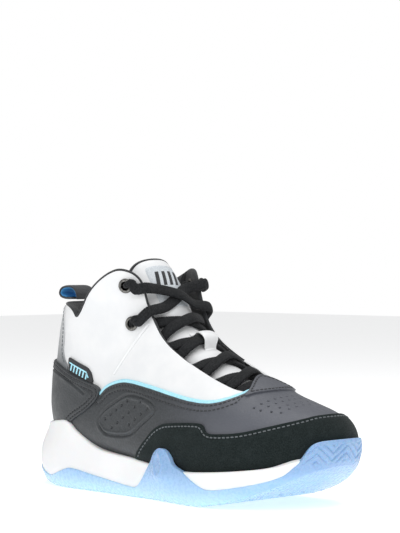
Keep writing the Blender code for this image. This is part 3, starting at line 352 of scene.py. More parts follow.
def middle_points(rows, tris, is_split, share):
    """Triangles with a new point on each edge that is_split marks. share gives its place along the edge."""
    edges = np.concatenate([tris[:, [0, 1]], tris[:, [1, 2]], tris[:, [2, 0]]])
    edges = np.sort(edges, axis=1)
    unique, index = np.unique(edges, axis=0, return_inverse=True)
    index = index.reshape(-1)
    marked = is_split(unique[:, 0], unique[:, 1])
    new_of = np.full(len(unique), -1)
    new_of[marked] = len(rows) + np.arange(marked.sum())
    a, b = unique[marked].T
    t = share(a, b)[:, None]
    rows = np.vstack([rows, rows[a] * (1 - t) + rows[b] * t])
    rows[:, 3:6] = unit(rows[:, 3:6])
    count = len(tris)
    m = np.array([new_of[index[k * count:(k + 1) * count]] for k in range(3)]).T
    splits = (m >= 0).sum(axis=1)
    out = [tris[splits == 0]]
    for k in range(3):
        p, q, r = tris[:, k], tris[:, (k + 1) % 3], tris[:, (k + 2) % 3]
        pq, qr, rp = m[:, k], m[:, (k + 1) % 3], m[:, (k + 2) % 3]
        one = (splits == 1) & (pq >= 0)
        out += [np.c_[p, pq, r][one], np.c_[pq, q, r][one]]
        two = (splits == 2) & (pq < 0)
        out += [np.c_[qr, r, rp][two], np.c_[p, q, qr][two], np.c_[p, qr, rp][two]]
    three = splits == 3
    p, q, r = tris[three].T
    pq, qr, rp = m[three].T
    out += [np.c_[p, pq, rp], np.c_[pq, q, qr], np.c_[rp, qr, r], np.c_[pq, qr, rp]]
    return rows, np.vstack(out)


def split_at(rows, tris, values, level, snap=0.03):
    """Splits the triangles where values pass a level. The values come back too, level on the new points."""
    values = np.where(np.abs(values - level) < snap, level, values)
    offset = values - level
    full = np.c_[rows, values]
    full, tris = middle_points(
        full, tris,
        lambda a, b: offset[a] * offset[b] < 0,
        lambda a, b: offset[a] / (offset[a] - offset[b]),
    )
    values = full[:, -1].copy()
    values[len(rows):] = level
    return full[:, :-1], tris, values


def keep_above(rows, tris, values, level=0.0):
    """Only the part where values are above a level."""
    near = (values[tris] > level).any(axis=1)
    rows, tris, values = compact(rows, tris[near], values)
    rows, tris, values = split_at(rows, tris, values, level)
    rows, tris, values = compact(rows, tris[(values[tris] > level).any(axis=1)], values)
    return rows, tris, values


def compact(rows, tris, values=None):
    used, index = np.unique(tris, return_inverse=True)
    tris = index.reshape(tris.shape)
    return (rows[used], tris) if values is None else (rows[used], tris, values[used])


def refined(rows, tris, is_near, longest):
    """Halves edges near a detail until none there is longer than longest."""
    for _ in range(4):
        near = is_near(rows)
        length = lambda a, b: np.linalg.norm(rows[a, :3] - rows[b, :3], axis=1)
        marked = lambda a, b: (near[a] | near[b]) & (length(a, b) > longest)
        rows, tris = middle_points(rows, tris, marked, lambda a, b: np.full(len(a), 0.5))
    return rows, tris


def chains(tris, on_level):
    """Chains of points along the edges whose two ends are on a level."""
    edges = np.concatenate([tris[:, [0, 1]], tris[:, [1, 2]], tris[:, [2, 0]]])
    edges = np.unique(np.sort(edges[on_level[edges].all(axis=1)], axis=1), axis=0)
    near = {}
    for a, b in edges.tolist():
        near.setdefault(a, []).append(b)
        near.setdefault(b, []).append(a)
    found, used = [], set()
    for start in sorted(near, key=lambda p: (len(near[p]) != 1, p)):
        if start in used:
            continue
        chain, here = [start], start
        used.add(start)
        while True:
            ahead = [p for p in near[here] if p not in used]
            if not ahead:
                break
            here = ahead[0]
            used.add(here)
            chain.append(here)
        if len(chain) > 2:
            if chain[0] in near[chain[-1]]:
                chain.append(chain[0])
            found.append(np.array(chain))
    return found


# ---------------------------------------------------------------- meshes


def triangles_of_grid(rows, columns, wraps=False):
    i, j = np.meshgrid(np.arange(rows - 1), np.arange(columns if wraps else columns - 1), indexing="ij")
    a, b = i * columns + j, i * columns + (j + 1) % columns
    c, d = b + columns, a + columns
    return np.vstack([np.c_[a.ravel(), b.ravel(), c.ravel()], np.c_[a.ravel(), c.ravel(), d.ravel()]])


def welded(rows, tris):
    """Rows with equal points merged, without the triangles that this closes up."""
    _, first, index = np.unique(np.round(rows[:, :3], 4), axis=0, return_index=True, return_inverse=True)
    tris = index.reshape(-1)[tris]
    whole = (tris[:, 0] != tris[:, 1]) & (tris[:, 1] != tris[:, 2]) & (tris[:, 2] != tris[:, 0])
    return rows[first], tris[whole]


def facing_normals(rows, tris):
    """Triangles turned to face the way of the rows' normals."""
    a, b, c = (rows[tris[:, k], :3] for k in range(3))
    wrong = (np.cross(b - a, c - a) * rows[tris, 3:6].mean(axis=1)).sum(axis=1) < 0
    tris[wrong] = tris[wrong][:, ::-1]
    return tris


def outward(points, tris):
    a, b, c = (points[tris[:, k]] for k in range(3))
    return tris if np.einsum("ij,ij->", a, np.cross(b, c)) > 0 else tris[:, ::-1]


def make(name, points, tris, finish, body=UPPER, nodes=(), sharp=0.7, blended=None):
    """One visible piece, from points in millimetres. finish is the name of its material."""
    mesh = bpy.data.meshes.new(name)
    mesh.from_pydata((np.asarray(points) * MM).tolist(), [], outward(np.asarray(points), tris).tolist())
    mesh.materials.append(MATERIALS[finish])
    mesh.shade_smooth()
    mesh.set_sharp_from_angle(angle=sharp)
    obj = bpy.data.objects.new(name, mesh)
    bpy.context.scene.collection.objects.link(obj)
    if nodes:
        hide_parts(*nodes)
    if blended:
        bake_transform(obj)
    else:
        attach(obj, body)
    return obj


def shell(rows, tris, outer, inner):
    """A closed solid between two depths of a patch of surface."""
    sheets = [rows[:, :3] + rows[:, 3:6] * np.reshape(depth, (-1, 1)) for depth in (outer, inner)]
    return np.vstack(sheets), closed_by(tris, len(rows))


def closed_by(tris, count):
    edges = np.concatenate([tris[:, [0, 1]], tris[:, [1, 2]], tris[:, [2, 0]]])
    _, index, number = np.unique(np.sort(edges, axis=1), axis=0, return_index=True, return_counts=True)
    a, b = edges[index[number == 1]].T
    rim = np.vstack([np.c_[b, a, a + count], np.c_[b, a + count, b + count]])
    return np.vstack([tris, tris[:, ::-1] + count, rim])


def joined(parts):
    points, tris, start = [], [], 0
    for part_points, part_tris in parts:
        points.append(part_points)
        tris.append(part_tris + start)
        start += len(part_points)
    return np.vstack(points), np.vstack(tris)


def tube(path, normals, widths, thicks, sides=12, power=1.0):
    """A tube of oval section along a path. Its thickness is along the normals."""
    path = np.asarray(path, float)
    along = unit(np.gradient(path, axis=0))
    frames, last = [], None
    for ahead, normal in zip(along, normals):
        flat = normal - normal.dot(ahead) * ahead
        if last is not None:
            carried = unit(last - last.dot(ahead) * ahead)
            share = np.clip((np.linalg.norm(flat) - 0.55) / 0.3, 0, 1)
            flat = share * flat + (1 - share) * carried
        last = unit(flat)
        frames.append(last)
    frames = np.array(frames)
    across = np.cross(along, frames)
    turn = 2 * np.pi * (np.arange(sides) + 0.5) / sides
    wide = np.sign(np.cos(turn)) * np.abs(np.cos(turn)) ** power
    high = np.sign(np.sin(turn)) * np.abs(np.sin(turn)) ** power
    widths, thicks = np.broadcast_to(widths, len(path)), np.broadcast_to(thicks, len(path))
    points = path[:, None] + across[:, None] * (widths[:, None] / 2 * wide)[:, :, None]
    points = points + frames[:, None] * (thicks[:, None] / 2 * high)[:, :, None]
    rows = len(path)
    tris = triangles_of_grid(rows, sides, wraps=True)
    ends = np.array([path[0], path[-1]])
    k = np.arange(sides)
    first, final = rows * sides, rows * sides + 1
    tris = np.vstack([
        tris,
        np.c_[np.full(sides, first), (k + 1) % sides, k],
        np.c_[np.full(sides, final), (rows - 1) * sides + k, (rows - 1) * sides + (k + 1) % sides],
    ])
    return np.vstack([points.reshape(-1, 3), ends]), tris


def resampled(line, spacing):
    """Rows of an open line, at even spacing over its first three columns."""
    along = arc_lengths(line[:, :3])
    count = max(2, int(round(along[-1] / spacing)) + 1)
    places = np.linspace(0, along[-1], count)
    return np.array([np.interp(places, along, line[:, k]) for k in range(line.shape[1])]).T


def smoothed(line, times=3):
    line = line.copy()
    for _ in range(times):
        line[1:-1] = (line[:-2] + 2 * line[1:-1] + line[2:]) / 4
    return line


STITCH_PITCH, STITCH_LENGTH, STITCH_RADIUS = 2.7, 2.0, 0.43


def capsules(line, height):
    """Stitches along a line of rows (point, normal), each a small rounded thread lying on the surface."""
    length, radius = STITCH_LENGTH, STITCH_RADIUS
    rows = resampled(smoothed(line), STITCH_PITCH)
    centres = (rows[:-1, :3] + rows[1:, :3]) / 2
    along = unit(rows[1:, :3] - rows[:-1, :3])
    normals = unit(rows[:-1, 3:6] + rows[1:, 3:6])
    across = np.cross(normals, along)
    latitudes = np.radians([-55, -20, 20, 55])
    sides = 6
    turn = 2 * np.pi * np.arange(sides) / sides
    ring = [(np.sign(q) * (length / 2 - radius) + radius * np.sin(q), radius * np.cos(q)) for q in latitudes]
    local = [(x, r * np.cos(t), r * np.sin(t)) for x, r in ring for t in turn]
    local = np.array(local + [(-length / 2, 0, 0), (length / 2, 0, 0)])
    tris = triangles_of_grid(len(ring), sides, wraps=True)
    k = np.arange(sides)
    start, last = len(local) - 2, (len(ring) - 1) * sides
    tris = np.vstack([
        tris, np.c_[np.full(sides, start), (k + 1) % sides, k],
        np.c_[np.full(sides, start + 1), last + k, last + (k + 1) % sides],
    ])
    parts = []
    for centre, ahead, side, up in zip(centres, along, across, normals):
        sag = 0.12 * (local[:, 0] / (length / 2)) ** 2
        points = centre + local[:, :1] * ahead + local[:, 1:2] * side
        points = points + (local[:, 2:] + height - sag[:, None]) * up
        parts.append((points, tris))
    return parts


# ---------------------------------------------------------------- master form

def section(u, side, steps=60):
    """Half a section of the form, from bottom centre to ridge. side is -1 lateral, +1 medial."""
    x_top, z_top, x_low, z_low, *shape = spline_rows(STATIONS, u)[0]
    lateral, medial, widest, low_power, high_power, y_top, y_low = shape
    width = lateral if side < 0 else medial
    turn = np.linspace(0, np.pi / 2, steps)
    low = widest * (1 - np.cos(turn) ** (2 / low_power))
    high = widest + (1 - widest) * np.sin(turn) ** (2 / high_power)
    t = np.r_[low, high[1:]]
    out = np.r_[width * np.sin(turn) ** (2 / low_power), (width * np.cos(turn) ** (2 / high_power))[1:]]
    y = y_low + (y_top - y_low) * t + side * out
    return np.c_[x_low + (x_top - x_low) * t, y, z_low + (z_top - z_low) * t]


def form_point(u, a):
    """The point of the form at station u, at arc length a from the ridge. Lateral is negative."""
    half = section(u, -1 if a < 0 else 1)[::-1]
    return at_length(half, [abs(a)])[0]


def form_normal(u, a):
    along = form_point(u + 0.03, a) - form_point(u - 0.03, a)
    across = form_point(u, a + 0.4) - form_point(u, a - 0.4)
    return unit(np.cross(across, along))


def on_form(u, a, depth):
    return form_point(u, a) + depth * form_normal(u, a)


def find_on_side(x, z, side):
    """(u, a) of the form's point that shows at x, z in side view."""
    best = None
    for u in np.arange(2, ROWS_TO_TOP, 0.25):
        half = section(u, side)[::-1]
        miss = np.hypot(half[:, 0] - x, half[:, 2] - z)
        k = int(miss.argmin())
        if best is None or miss[k] < best[0]:
            best = (miss[k], u, side * arc_lengths(half)[k])
    _, u, a = best
    for _ in range(12):
        here = form_point(u, a)[[0, 2]]
        step_u = (form_point(u + 0.01, a)[[0, 2]] - here) / 0.01
        step_a = (form_point(u, a + 0.05)[[0, 2]] - here) / 0.05
        change = np.linalg.solve(np.array([step_u, step_a]).T, np.array([x, z]) - here)
        u = np.clip(u + np.clip(change[0], -0.5, 0.5), 1, ROWS_TO_TOP - 0.05)
        a = side * np.clip(side * (a + np.clip(change[1], -4, 4)), 1, 110)
    return u, a


FORM_STEP = 1.5
FORM_COLUMNS = 66


def fine_form():
    """The form as rows (point, normal) and triangles, with sections about FORM_STEP apart."""
    rough = np.linspace(0, ROWS_TO_TOP, 300)
    key = spline_rows(STATIONS, rough)
    steps = np.diff(key, axis=0)
    travel = np.maximum(np.hypot(steps[:, 0], steps[:, 1]), np.hypot(steps[:, 2], steps[:, 3]))
    reach = np.r_[0, np.cumsum(travel + 0.12)]
    stations = np.interp(np.linspace(0, reach[-1], int(reach[-1] / FORM_STEP)), reach, rough)
    grid = []
    for u in stations:
        halves = []
        for side in (LATERAL, MEDIAL):
            half = section(u, side)
            halves.append(at_length(half, np.linspace(0, arc_lengths(half)[-1], FORM_COLUMNS)))
        grid.append(np.vstack([halves[0], halves[1][::-1][1:-1]]))
    grid = np.array(grid)
    along = np.gradient(grid, axis=0)
    across = (np.roll(grid, -1, axis=1) - np.roll(grid, 1, axis=1)) / 2
    normals = unit(np.cross(along, across))
    facing = ((grid - grid.mean(axis=1)[:, None]) * normals).sum(axis=2)
    if facing.mean() < 0:
        normals = -normals
    rows, columns = grid.shape[:2]
    nose = np.r_[grid[0].mean(axis=0), (1.0, 0.0, 0.0)]
    flat = np.vstack([np.c_[grid.reshape(-1, 3), normals.reshape(-1, 3)], nose])
    tris = triangles_of_grid(rows, columns, wraps=True)
    k = np.arange(columns)
    tris = np.vstack([tris, np.c_[np.full(columns, rows * columns), (k + 1) % columns, k]])
    return flat, facing_normals(flat, tris)


FORM, FORM_TRIS = fine_form()


def padding(rows):
    """0 to 1: how padded the collar is there."""
    return ease((rows[:, 2] - 84) / 14) * ease((-22 - rows[:, 0]) / 14)


# ---------------------------------------------------------------- materials

def material(name, build):
    made = bpy.data.materials.new(name)
    made.use_nodes = True
    made.node_tree.nodes.clear()
    build(Nodes(made.node_tree))
    return made


class Nodes:
    """Short calls for adding and joining shader nodes. Lengths are in metres over the object."""

    def __init__(self, tree):
        self.tree = tree
        self.place = self.add("ShaderNodeTexCoord").outputs["Object"]

    def add(self, kind, **values):
        node = self.tree.nodes.new(kind)
        for key, value in values.items():
            setattr(node, key, value)
        return node

    def link(self, source, socket):
        if hasattr(source, "is_output"):
            self.tree.links.new(source, socket)
        else:
            socket.default_value = source

    def noise(self, scale, detail=3.0, roughness=0.55):
        node = self.add("ShaderNodeTexNoise")
        self.link(self.place, node.inputs["Vector"])
        node.inputs["Scale"].default_value = scale
        node.inputs["Detail"].default_value = detail
        node.inputs["Roughness"].default_value = roughness
        return node.outputs["Fac"]

    def cells(self, scale, feature="F1"):
        node = self.add("ShaderNodeTexVoronoi", feature=feature)
        self.link(self.place, node.inputs["Vector"])
        node.inputs["Scale"].default_value = scale
        return node.outputs["Distance"]

    def wave(self, scale, direction, distortion=0.0):
        node = self.add("ShaderNodeTexWave", wave_type="BANDS", bands_direction=direction)
        self.link(self.place, node.inputs["Vector"])
        node.inputs["Scale"].default_value = scale
        node.inputs["Distortion"].default_value = distortion
        return node.outputs["Fac"]

    def math(self, operation, a, b=0.0):
        node = self.add("ShaderNodeMath", operation=operation)
        self.link(a, node.inputs[0])
        self.link(b, node.inputs[1])
        return node.outputs[0]

    def ranged(self, value, low, high, to_low, to_high):
        node = self.add("ShaderNodeMapRange", interpolation_type="SMOOTHSTEP")
        self.link(value, node.inputs["Value"])
        for key, number in (("From Min", low), ("From Max", high), ("To Min", to_low), ("To Max", to_high)):
            node.inputs[key].default_value = number
        return node.outputs[0]

    def mixed(self, share, one, other):
        node = self.add("ShaderNodeMix", data_type="RGBA")
        self.link(share, node.inputs[0])
        self.link(one if hasattr(one, "is_output") else (*one, 1), node.inputs[6])
        self.link(other if hasattr(other, "is_output") else (*other, 1), node.inputs[7])
        return node.outputs[2]

    def axis(self, name):
        node = self.add("ShaderNodeSeparateXYZ")
        self.link(self.place, node.inputs[0])
        return node.outputs[name]

    def bumped(self, *layers):
        """A normal from (height, distance in metres, strength) layers."""
        normal = None
        for height, distance, strength in layers:
            node = self.add("ShaderNodeBump")
            node.inputs["Strength"].default_value = strength
            node.inputs["Distance"].default_value = distance
            self.link(height, node.inputs["Height"])
            if normal:
                self.link(normal, node.inputs["Normal"])
            normal = node.outputs[0]
        return normal

    def finish(self, color, roughness, normal=None, **settings):
        shader = self.add("ShaderNodeBsdfPrincipled")
        self.link(color if hasattr(color, "is_output") else (*color, 1), shader.inputs["Base Color"])
        self.link(roughness, shader.inputs["Roughness"])
        if normal:
            self.link(normal, shader.inputs["Normal"])
        for key, value in settings.items():
            shader.inputs[key.replace("_", " ")].default_value = value
        out = self.add("ShaderNodeOutputMaterial")
        self.link(shader.outputs[0], out.inputs["Surface"])


def white_synthetic(n):
    grain = n.cells(1500)
    tone = n.mixed(n.ranged(n.noise(60), 0.35, 0.7, 0, 1), (0.79, 0.80, 0.81), (0.835, 0.84, 0.845))
    rough = n.ranged(n.noise(420), 0.3, 0.7, 0.42, 0.52)
    n.finish(tone, rough, n.bumped((grain, 0.00012, 0.25), (n.noise(3500), 0.00006, 0.2)), Coat_Weight=0.06)


def silver_synthetic(n):
    grain = n.noise(1500, 3.0)
    # Painted shade: the strip's grey darkens towards its lower end, where the heel turns away from the light;
    # the pale top is its own silver grey.
    tone = n.mixed(n.ranged(n.axis("Z"), 0.07, 0.105, 0, 1), (0.16, 0.17, 0.18), (0.55, 0.56, 0.57))
    n.finish(tone, 0.42, n.bumped((grain, 0.00008, 0.4)), Metallic=0.25)


def grey_leather(n):
    pebbles = n.cells(880, "SMOOTH_F1")
    wrinkles = n.noise(240, 6.0, 0.65)
    # Painted highlight: the leather's base colour lightens from the heel towards the toe, standing in for the
    # light that the toe box reflects.
    painted_toe_highlight = n.ranged(n.axis("X"), 0.0, 0.085, 0, 1)
    base = n.mixed(painted_toe_highlight, (0.036, 0.040, 0.043), (0.098, 0.104, 0.124))
    base = n.mixed(n.ranged(pebbles, 0.15, 0.75, 0, 0.15), base, (0.11, 0.115, 0.13))
    rough = n.ranged(wrinkles, 0.3, 0.7, 0.36, 0.52)
    normal = n.bumped((pebbles, 0.00028, 0.5), (wrinkles, 0.0002, 0.35), (n.noise(2600), 0.00005, 0.3))
    n.finish(base, rough, normal, Specular_IOR_Level=0.4, Coat_Weight=0.06, Coat_Roughness=0.4)


def black_suede(n):
    nap = n.noise(1900, 4.0, 0.75)
    brushed = n.noise(150, 5.0, 0.7)
    tone = n.mixed(n.ranged(nap, 0.3, 0.72, 0, 1), (0.005, 0.008, 0.008), (0.024, 0.033, 0.033))
    tone = n.mixed(n.ranged(brushed, 0.45, 0.7, 0, 0.3), tone, (0.03, 0.038, 0.039))
    normal = n.bumped((nap, 0.0003, 0.7), (brushed, 0.0003, 0.25))
    n.finish(tone, 0.96, normal, Sheen_Weight=0.12, Sheen_Roughness=0.4, Specular_IOR_Level=0.1)


def woven(n, weave, dark, pale, roughness, *layers, **settings):
    """A cloth whose yarns are two crossing waves, each given as scale, direction and distortion."""
    yarns = n.math("MULTIPLY", *(n.wave(*yarn) for yarn in weave))
    height, strength = layers[0]
    normal = n.bumped((yarns, height, strength), *layers[1:])
    n.finish(n.mixed(yarns, dark, pale), roughness, normal, **settings)


def speckled(n, grain, dark, pale, roughness, height, strength, **settings):
    tone = n.mixed(n.ranged(grain, 0.3, 0.7, 0, 1), dark, pale)
    n.finish(tone, roughness, n.bumped((grain, height, strength)), **settings)


def black_mesh(n):
    weave = ((420, "X", 0.6), (420, "Z", 0.6))
    fuzz = (n.noise(1500), 0.0002, 0.3)
    dark, pale = (0.008, 0.009, 0.010), (0.045, 0.048, 0.052)
    woven(n, weave, dark, pale, 0.88, (0.0005, 0.7), fuzz, Sheen_Weight=0.2)


def black_binding(n):
    dark, pale = (0.010, 0.011, 0.012), (0.034, 0.036, 0.040)
    speckled(n, n.noise(1600, 3.0, 0.6), dark, pale, 0.75, 0.0002, 0.5, Sheen_Weight=0.15)


def twisted_thread(n, dark, pale):
    twist = n.wave(900, "DIAGONAL", 0.3)
    n.finish(n.mixed(twist, dark, pale), 0.6, n.bumped((twist, 0.0001, 0.5)), Sheen_Weight=0.1)


def stitch_thread(n):
    twisted_thread(n, (0.012, 0.013, 0.015), (0.05, 0.053, 0.058))


def grey_thread(n):
    twisted_thread(n, (0.07, 0.08, 0.085), (0.16, 0.18, 0.19))


def sky_blue_piping(n):
    speckled(n, n.noise(900), (0.36, 0.76, 0.90), (0.48, 0.84, 0.95), 0.5, 0.0001, 0.3)


def bright_blue_lining(n):
    weave = ((520, "X"), (520, "Y"))
    woven(n, weave, (0.05, 0.28, 0.60), (0.16, 0.52, 0.86), 0.6, (0.0003, 0.6))


def ice_blue_rubber(n):
    height = n.axis("Z")
    ahead = n.axis("X")
    low = n.ranged(height, 0.0015, 0.014, 1, 0)
    bumper = n.math("MULTIPLY", n.ranged(ahead, 0.088, 0.104, 0, 1), n.ranged(height, 0.016, 0.026, 0, 1))
    spike = n.math("MULTIPLY", n.ranged(height, 0.010, 0.022, 0, 1), n.ranged(ahead, 0.05, 0.07, 1, 0))
    deep = n.math("MAXIMUM", bumper, spike)
    tone = n.mixed(low, (0.34, 0.56, 0.84), (0.50, 0.73, 0.92))
    tone = n.mixed(deep, tone, (0.25, 0.42, 0.68))
    cloud = n.ranged(n.noise(90), 0.35, 0.7, 0, 0.08)
    tone = n.mixed(cloud, tone, (0.62, 0.82, 0.96))
    n.finish(
        tone, n.ranged(n.noise(500), 0.3, 0.7, 0.22, 0.34), n.bumped((n.noise(700), 0.00005, 0.05)),
        Subsurface_Weight=0.2, Subsurface_Scale=0.004, Coat_Weight=0.15, Coat_Roughness=0.2, IOR=1.5,
    )


def white_eva(n):
    skin = n.noise(1400, 4.0, 0.6)
    tone = n.mixed(n.ranged(n.noise(45), 0.35, 0.7, 0, 1), (0.84, 0.842, 0.845), (0.875, 0.876, 0.878))
    n.finish(tone, 0.55, n.bumped((skin, 0.00008, 0.35)), Subsurface_Weight=0.15, Subsurface_Scale=0.003)


def gunmetal(n):
    wear = n.noise(900, 4.0)
    tone = n.mixed(n.ranged(wear, 0.35, 0.7, 0, 1), (0.10, 0.10, 0.095), (0.26, 0.25, 0.235))
    n.finish(tone, n.ranged(wear, 0.3, 0.7, 0.24, 0.4), n.bumped((wear, 0.00003, 0.3)), Metallic=1.0)


def black_lace(n):
    braid = n.cells(1250, "F1")
    strands = n.noise(2600, 2.0)
    tone = n.mixed(n.ranged(braid, 0.1, 0.7, 0, 1), (0.020, 0.021, 0.023), (0.004, 0.005, 0.006))
    normal = n.bumped((braid, 0.0003, 0.7), (strands, 0.0001, 0.4))
    n.finish(tone, 0.75, normal, Sheen_Weight=0.05, Specular_IOR_Level=0.25)


def black_webbing(n):
    weave = ((560, "Y"), (380, "Z"))
    dark, pale = (0.014, 0.016, 0.020), (0.075, 0.080, 0.092)
    woven(n, weave, dark, pale, 0.7, (0.0003, 0.7), Sheen_Weight=0.2)


def patch_grey(n):
    speckled(n, n.noise(1200), (0.52, 0.56, 0.60), (0.66, 0.70, 0.73), 0.42, 0.0001, 0.2)


def former_board(n):
    fibre = n.noise(700, 5.0, 0.7)
    tone = n.mixed(fibre, (0.36, 0.31, 0.24), (0.66, 0.61, 0.52))
    n.finish(tone, 0.85, n.bumped((fibre, 0.0002, 0.4)))


def shank_tpu(n):
    weave = ((260, "X"), (260, "Y"))
    woven(n, weave, (0.02, 0.02, 0.022), (0.08, 0.08, 0.085), 0.4, (0.0002, 0.4))


def sockliner_cloth(n):
    weave = ((330, "X", 0.5), (330, "Y", 0.5))
    wear = (n.noise(300), 0.0006, 0.2)
    dark, pale = (0.012, 0.013, 0.015), (0.060, 0.064, 0.070)
    woven(n, weave, dark, pale, 0.85, (0.0004, 0.6), wear, Sheen_Weight=0.2)


MATERIALS = {
    build.__name__: material(build.__name__, build)
    for build in (
        white_synthetic, silver_synthetic, grey_leather, black_suede, black_mesh, black_binding,
        stitch_thread, grey_thread, sky_blue_piping, bright_blue_lining, ice_blue_rubber, white_eva, gunmetal,
        black_lace, black_webbing, patch_grey, former_board, shank_tpu, sockliner_cloth,
    )
}


# ---------------------------------------------------------------- panels of the upper

def upper_outline():
    return np.vstack([
        curve_through(FEATHER_LINE[::-1]), VAMP_POINT[::-1],
        curve_through(THROAT_LINE[::-1]), curve_through(COLLAR_LINE[::-1]),
    ])


UPPER_OUTLINE = upper_outline()
COLLAR_EDGE = curve_through(COLLAR_LINE)
TOE_SPLIT = [(67, 100), (67, 66), (62, 56), (58, 48), (52, 38), (48, 0)]
QUARTER_REGION = np.array([*TOE_SPLIT, (-FAR, 0), (-FAR, FAR), (67, FAR)], float)
SKIN_DEPTH = -1.4
BEHIND_SKIN = -1.42  # where the layers inside the skin begin


def patch_of_form(*outlines, side=0, source=None):
    """The form's surface inside every outline, on one side or both, and its depth inside them."""
    rows, tris = (FORM, FORM_TRIS) if source is None else source
    if side:
        rows, tris, _ = keep_above(rows, tris, rows[:, 1] * side, 0.0)
    for outline in outlines:
        rows, tris, _ = keep_above(rows, tris, depth_inside(rows, outline))
    return rows, tris


def rolled(depth, top, radius):
    """Height of a panel with a rounded edge, at a depth inside its edge."""
    t = 1 - np.clip(depth / radius, 0, 1)
    return top - radius * (1 - np.sqrt(np.clip(1 - t * t, 0, 1)))


def edge_splits(rows, tris, edge_depth, levels):
    """Splits along lines parallel to an edge, so that its rolled shape and seams are crisp."""
    for level in levels:
        rows, tris, _ = split_at(rows, tris, edge_depth(rows), level)
    return rows, tris


def seam_rows(rows, tris, edge_depth, level, allowed=None):
    """Lines of rows (point, normal) along a depth inside an edge."""
    rows, tris, values = split_at(rows, tris, edge_depth(rows), level)
    lines = [rows[chain] for chain in chains(tris, values == level)]
    if allowed is not None:
        kept = []
        for line in lines:
            good = allowed(line)
            for run in np.split(np.arange(len(line)), np.where(np.diff(good.astype(int)) != 0)[0] + 1):
                if good[run[0]] and len(run) > 3:
                    kept.append(line[run])
        lines = kept
    return [line for line in lines if arc_lengths(line[:, :3])[-1] > 5]


def lay_panel(
    name, node, finish, patch, edge_depth, *, top, base=0.05, radius=0.5,
    seams=(), relief=None, allowed=None, thread="stitch_thread",
):
    """A panel from base to top over the form, with a rolled edge, sunk lines under its seams, and stitches."""
    rows, tris = patch
    levels = [radius * share for share in (0.12, 0.4, 1.0)]
    for seam in seams:
        levels += [seam - 0.6, seam, seam + 0.6]
    rows, tris = edge_splits(rows, tris, edge_depth, sorted(levels))
    depth = edge_depth(rows)
    height = rolled(depth, top, radius)
    for seam in seams:
        sunk = bump(depth - seam, 0.55)
        if allowed is not None:
            sunk = sunk * allowed(rows)
        height = height - 0.3 * sunk
    if relief is not None:
        height = height + relief(rows)
    points, faces = shell(rows, tris, height, base)
    make(name, points, faces, finish, nodes=[node])
    stitches = []
    for seam in seams:
        for line in seam_rows(*patch, edge_depth, seam, allowed):
            stitches += capsules(line, top - 0.05)
    if stitches:
        make(f"{name}_stitches", *joined(stitches), thread)


def make_quarters():
    """The white quarters, each with an embossed slanting line, in one piece from heel to throat."""
    line = curve_through(EMBOSSED_LINE)
    edge = lambda rows: depth_inside(rows, UPPER_OUTLINE)
    for name, side in SIDES:
        rows, tris = patch_of_form(UPPER_OUTLINE, QUARTER_REGION, side=side)
        rows, tris = with_eyelet_holes(rows, tris, side)
        rows, tris = refined(rows, tris, lambda r: from_line(r, line) < 1.6, 0.5)
        rows, tris = edge_splits(rows, tris, edge, (0.1, 0.35, 0.9))
        height = rolled(edge(rows), 0.0, 0.7)
        gap = from_line(rows, line)
        height = height - 0.35 * bump(gap, 0.5) + 0.12 * bump(gap - 1.1, 0.5)
        height = height + puckers(rows)
        points, faces = shell(rows, tris, height, SKIN_DEPTH)
        make(f"quarter_{name}_skin", points, faces, "white_synthetic", nodes=[f"quarter_{name}"])


def puckers(rows):
    """Soft unevenness of the stretched synthetic, and its slight dent round each eyelet."""
    x, y, z = rows[:, 0], rows[:, 1], rows[:, 2]
    soft = 0.10 * np.sin(x * 0.11 + z * 0.07) * np.sin(z * 0.13 - x * 0.05 + np.sign(y))
    dent = sum(bump(np.hypot(x - ex, z - ez), 6.5) for ex, ez in (EYELET_1, EYELET_2))
    return soft - 0.25 * dent


def eyelet_frame(place, side):
    u, a = find_on_side(*place, side)
    return form_point(u, a), form_normal(u, a)


EYELET_HOLE = 3.6


def with_eyelet_holes(rows, tris, side):
    for place in (EYELET_1, EYELET_2):
        centre, _ = eyelet_frame(place, side)
        distance = lambda r: np.linalg.norm(r[:, :3] - centre, axis=1)
        rows, tris = refined(rows, tris, lambda r: distance(r) < EYELET_HOLE + 1.5, 0.8)
        rows, tris, _ = keep_above(rows, tris, distance(rows), EYELET_HOLE)
    return rows, tris


def foxing_outline():
    ahead = [(65.5, 90), (FAR, 90), (FAR, 0), (-92, 0)]
    return np.vstack([[(-92, 38), (-60, 55)], curve_through(FOXING_TOP), ahead])


def spots(pairs, rows):
    """Distance from rows to the nearest of some points in side view."""
    points = rows[:, [0, 2]]
    return np.min([np.hypot(*(points - spot).T) for spot in pairs], axis=0)


def dimple_places():
    return [
        np.asarray(first) + (np.asarray(last) - first) * t
        for first, last, count in DIMPLE_ROWS
        for t in np.linspace(0, 1, count)
    ]


def perforation_distance(rows):
    """Distance from the toe's perforations, seen from above."""
    best = np.full(len(rows), 99.0)
    for x, first, last, count in PERFORATION_ROWS:
        for y in np.linspace(first, last, count):
            sweep_back = 0.006 * (y - 2) ** 2
            best = np.minimum(best, np.hypot(rows[:, 0] - x + sweep_back, rows[:, 1] - y))
    return np.where(rows[:, 5] > 0.3, best, 99.0)


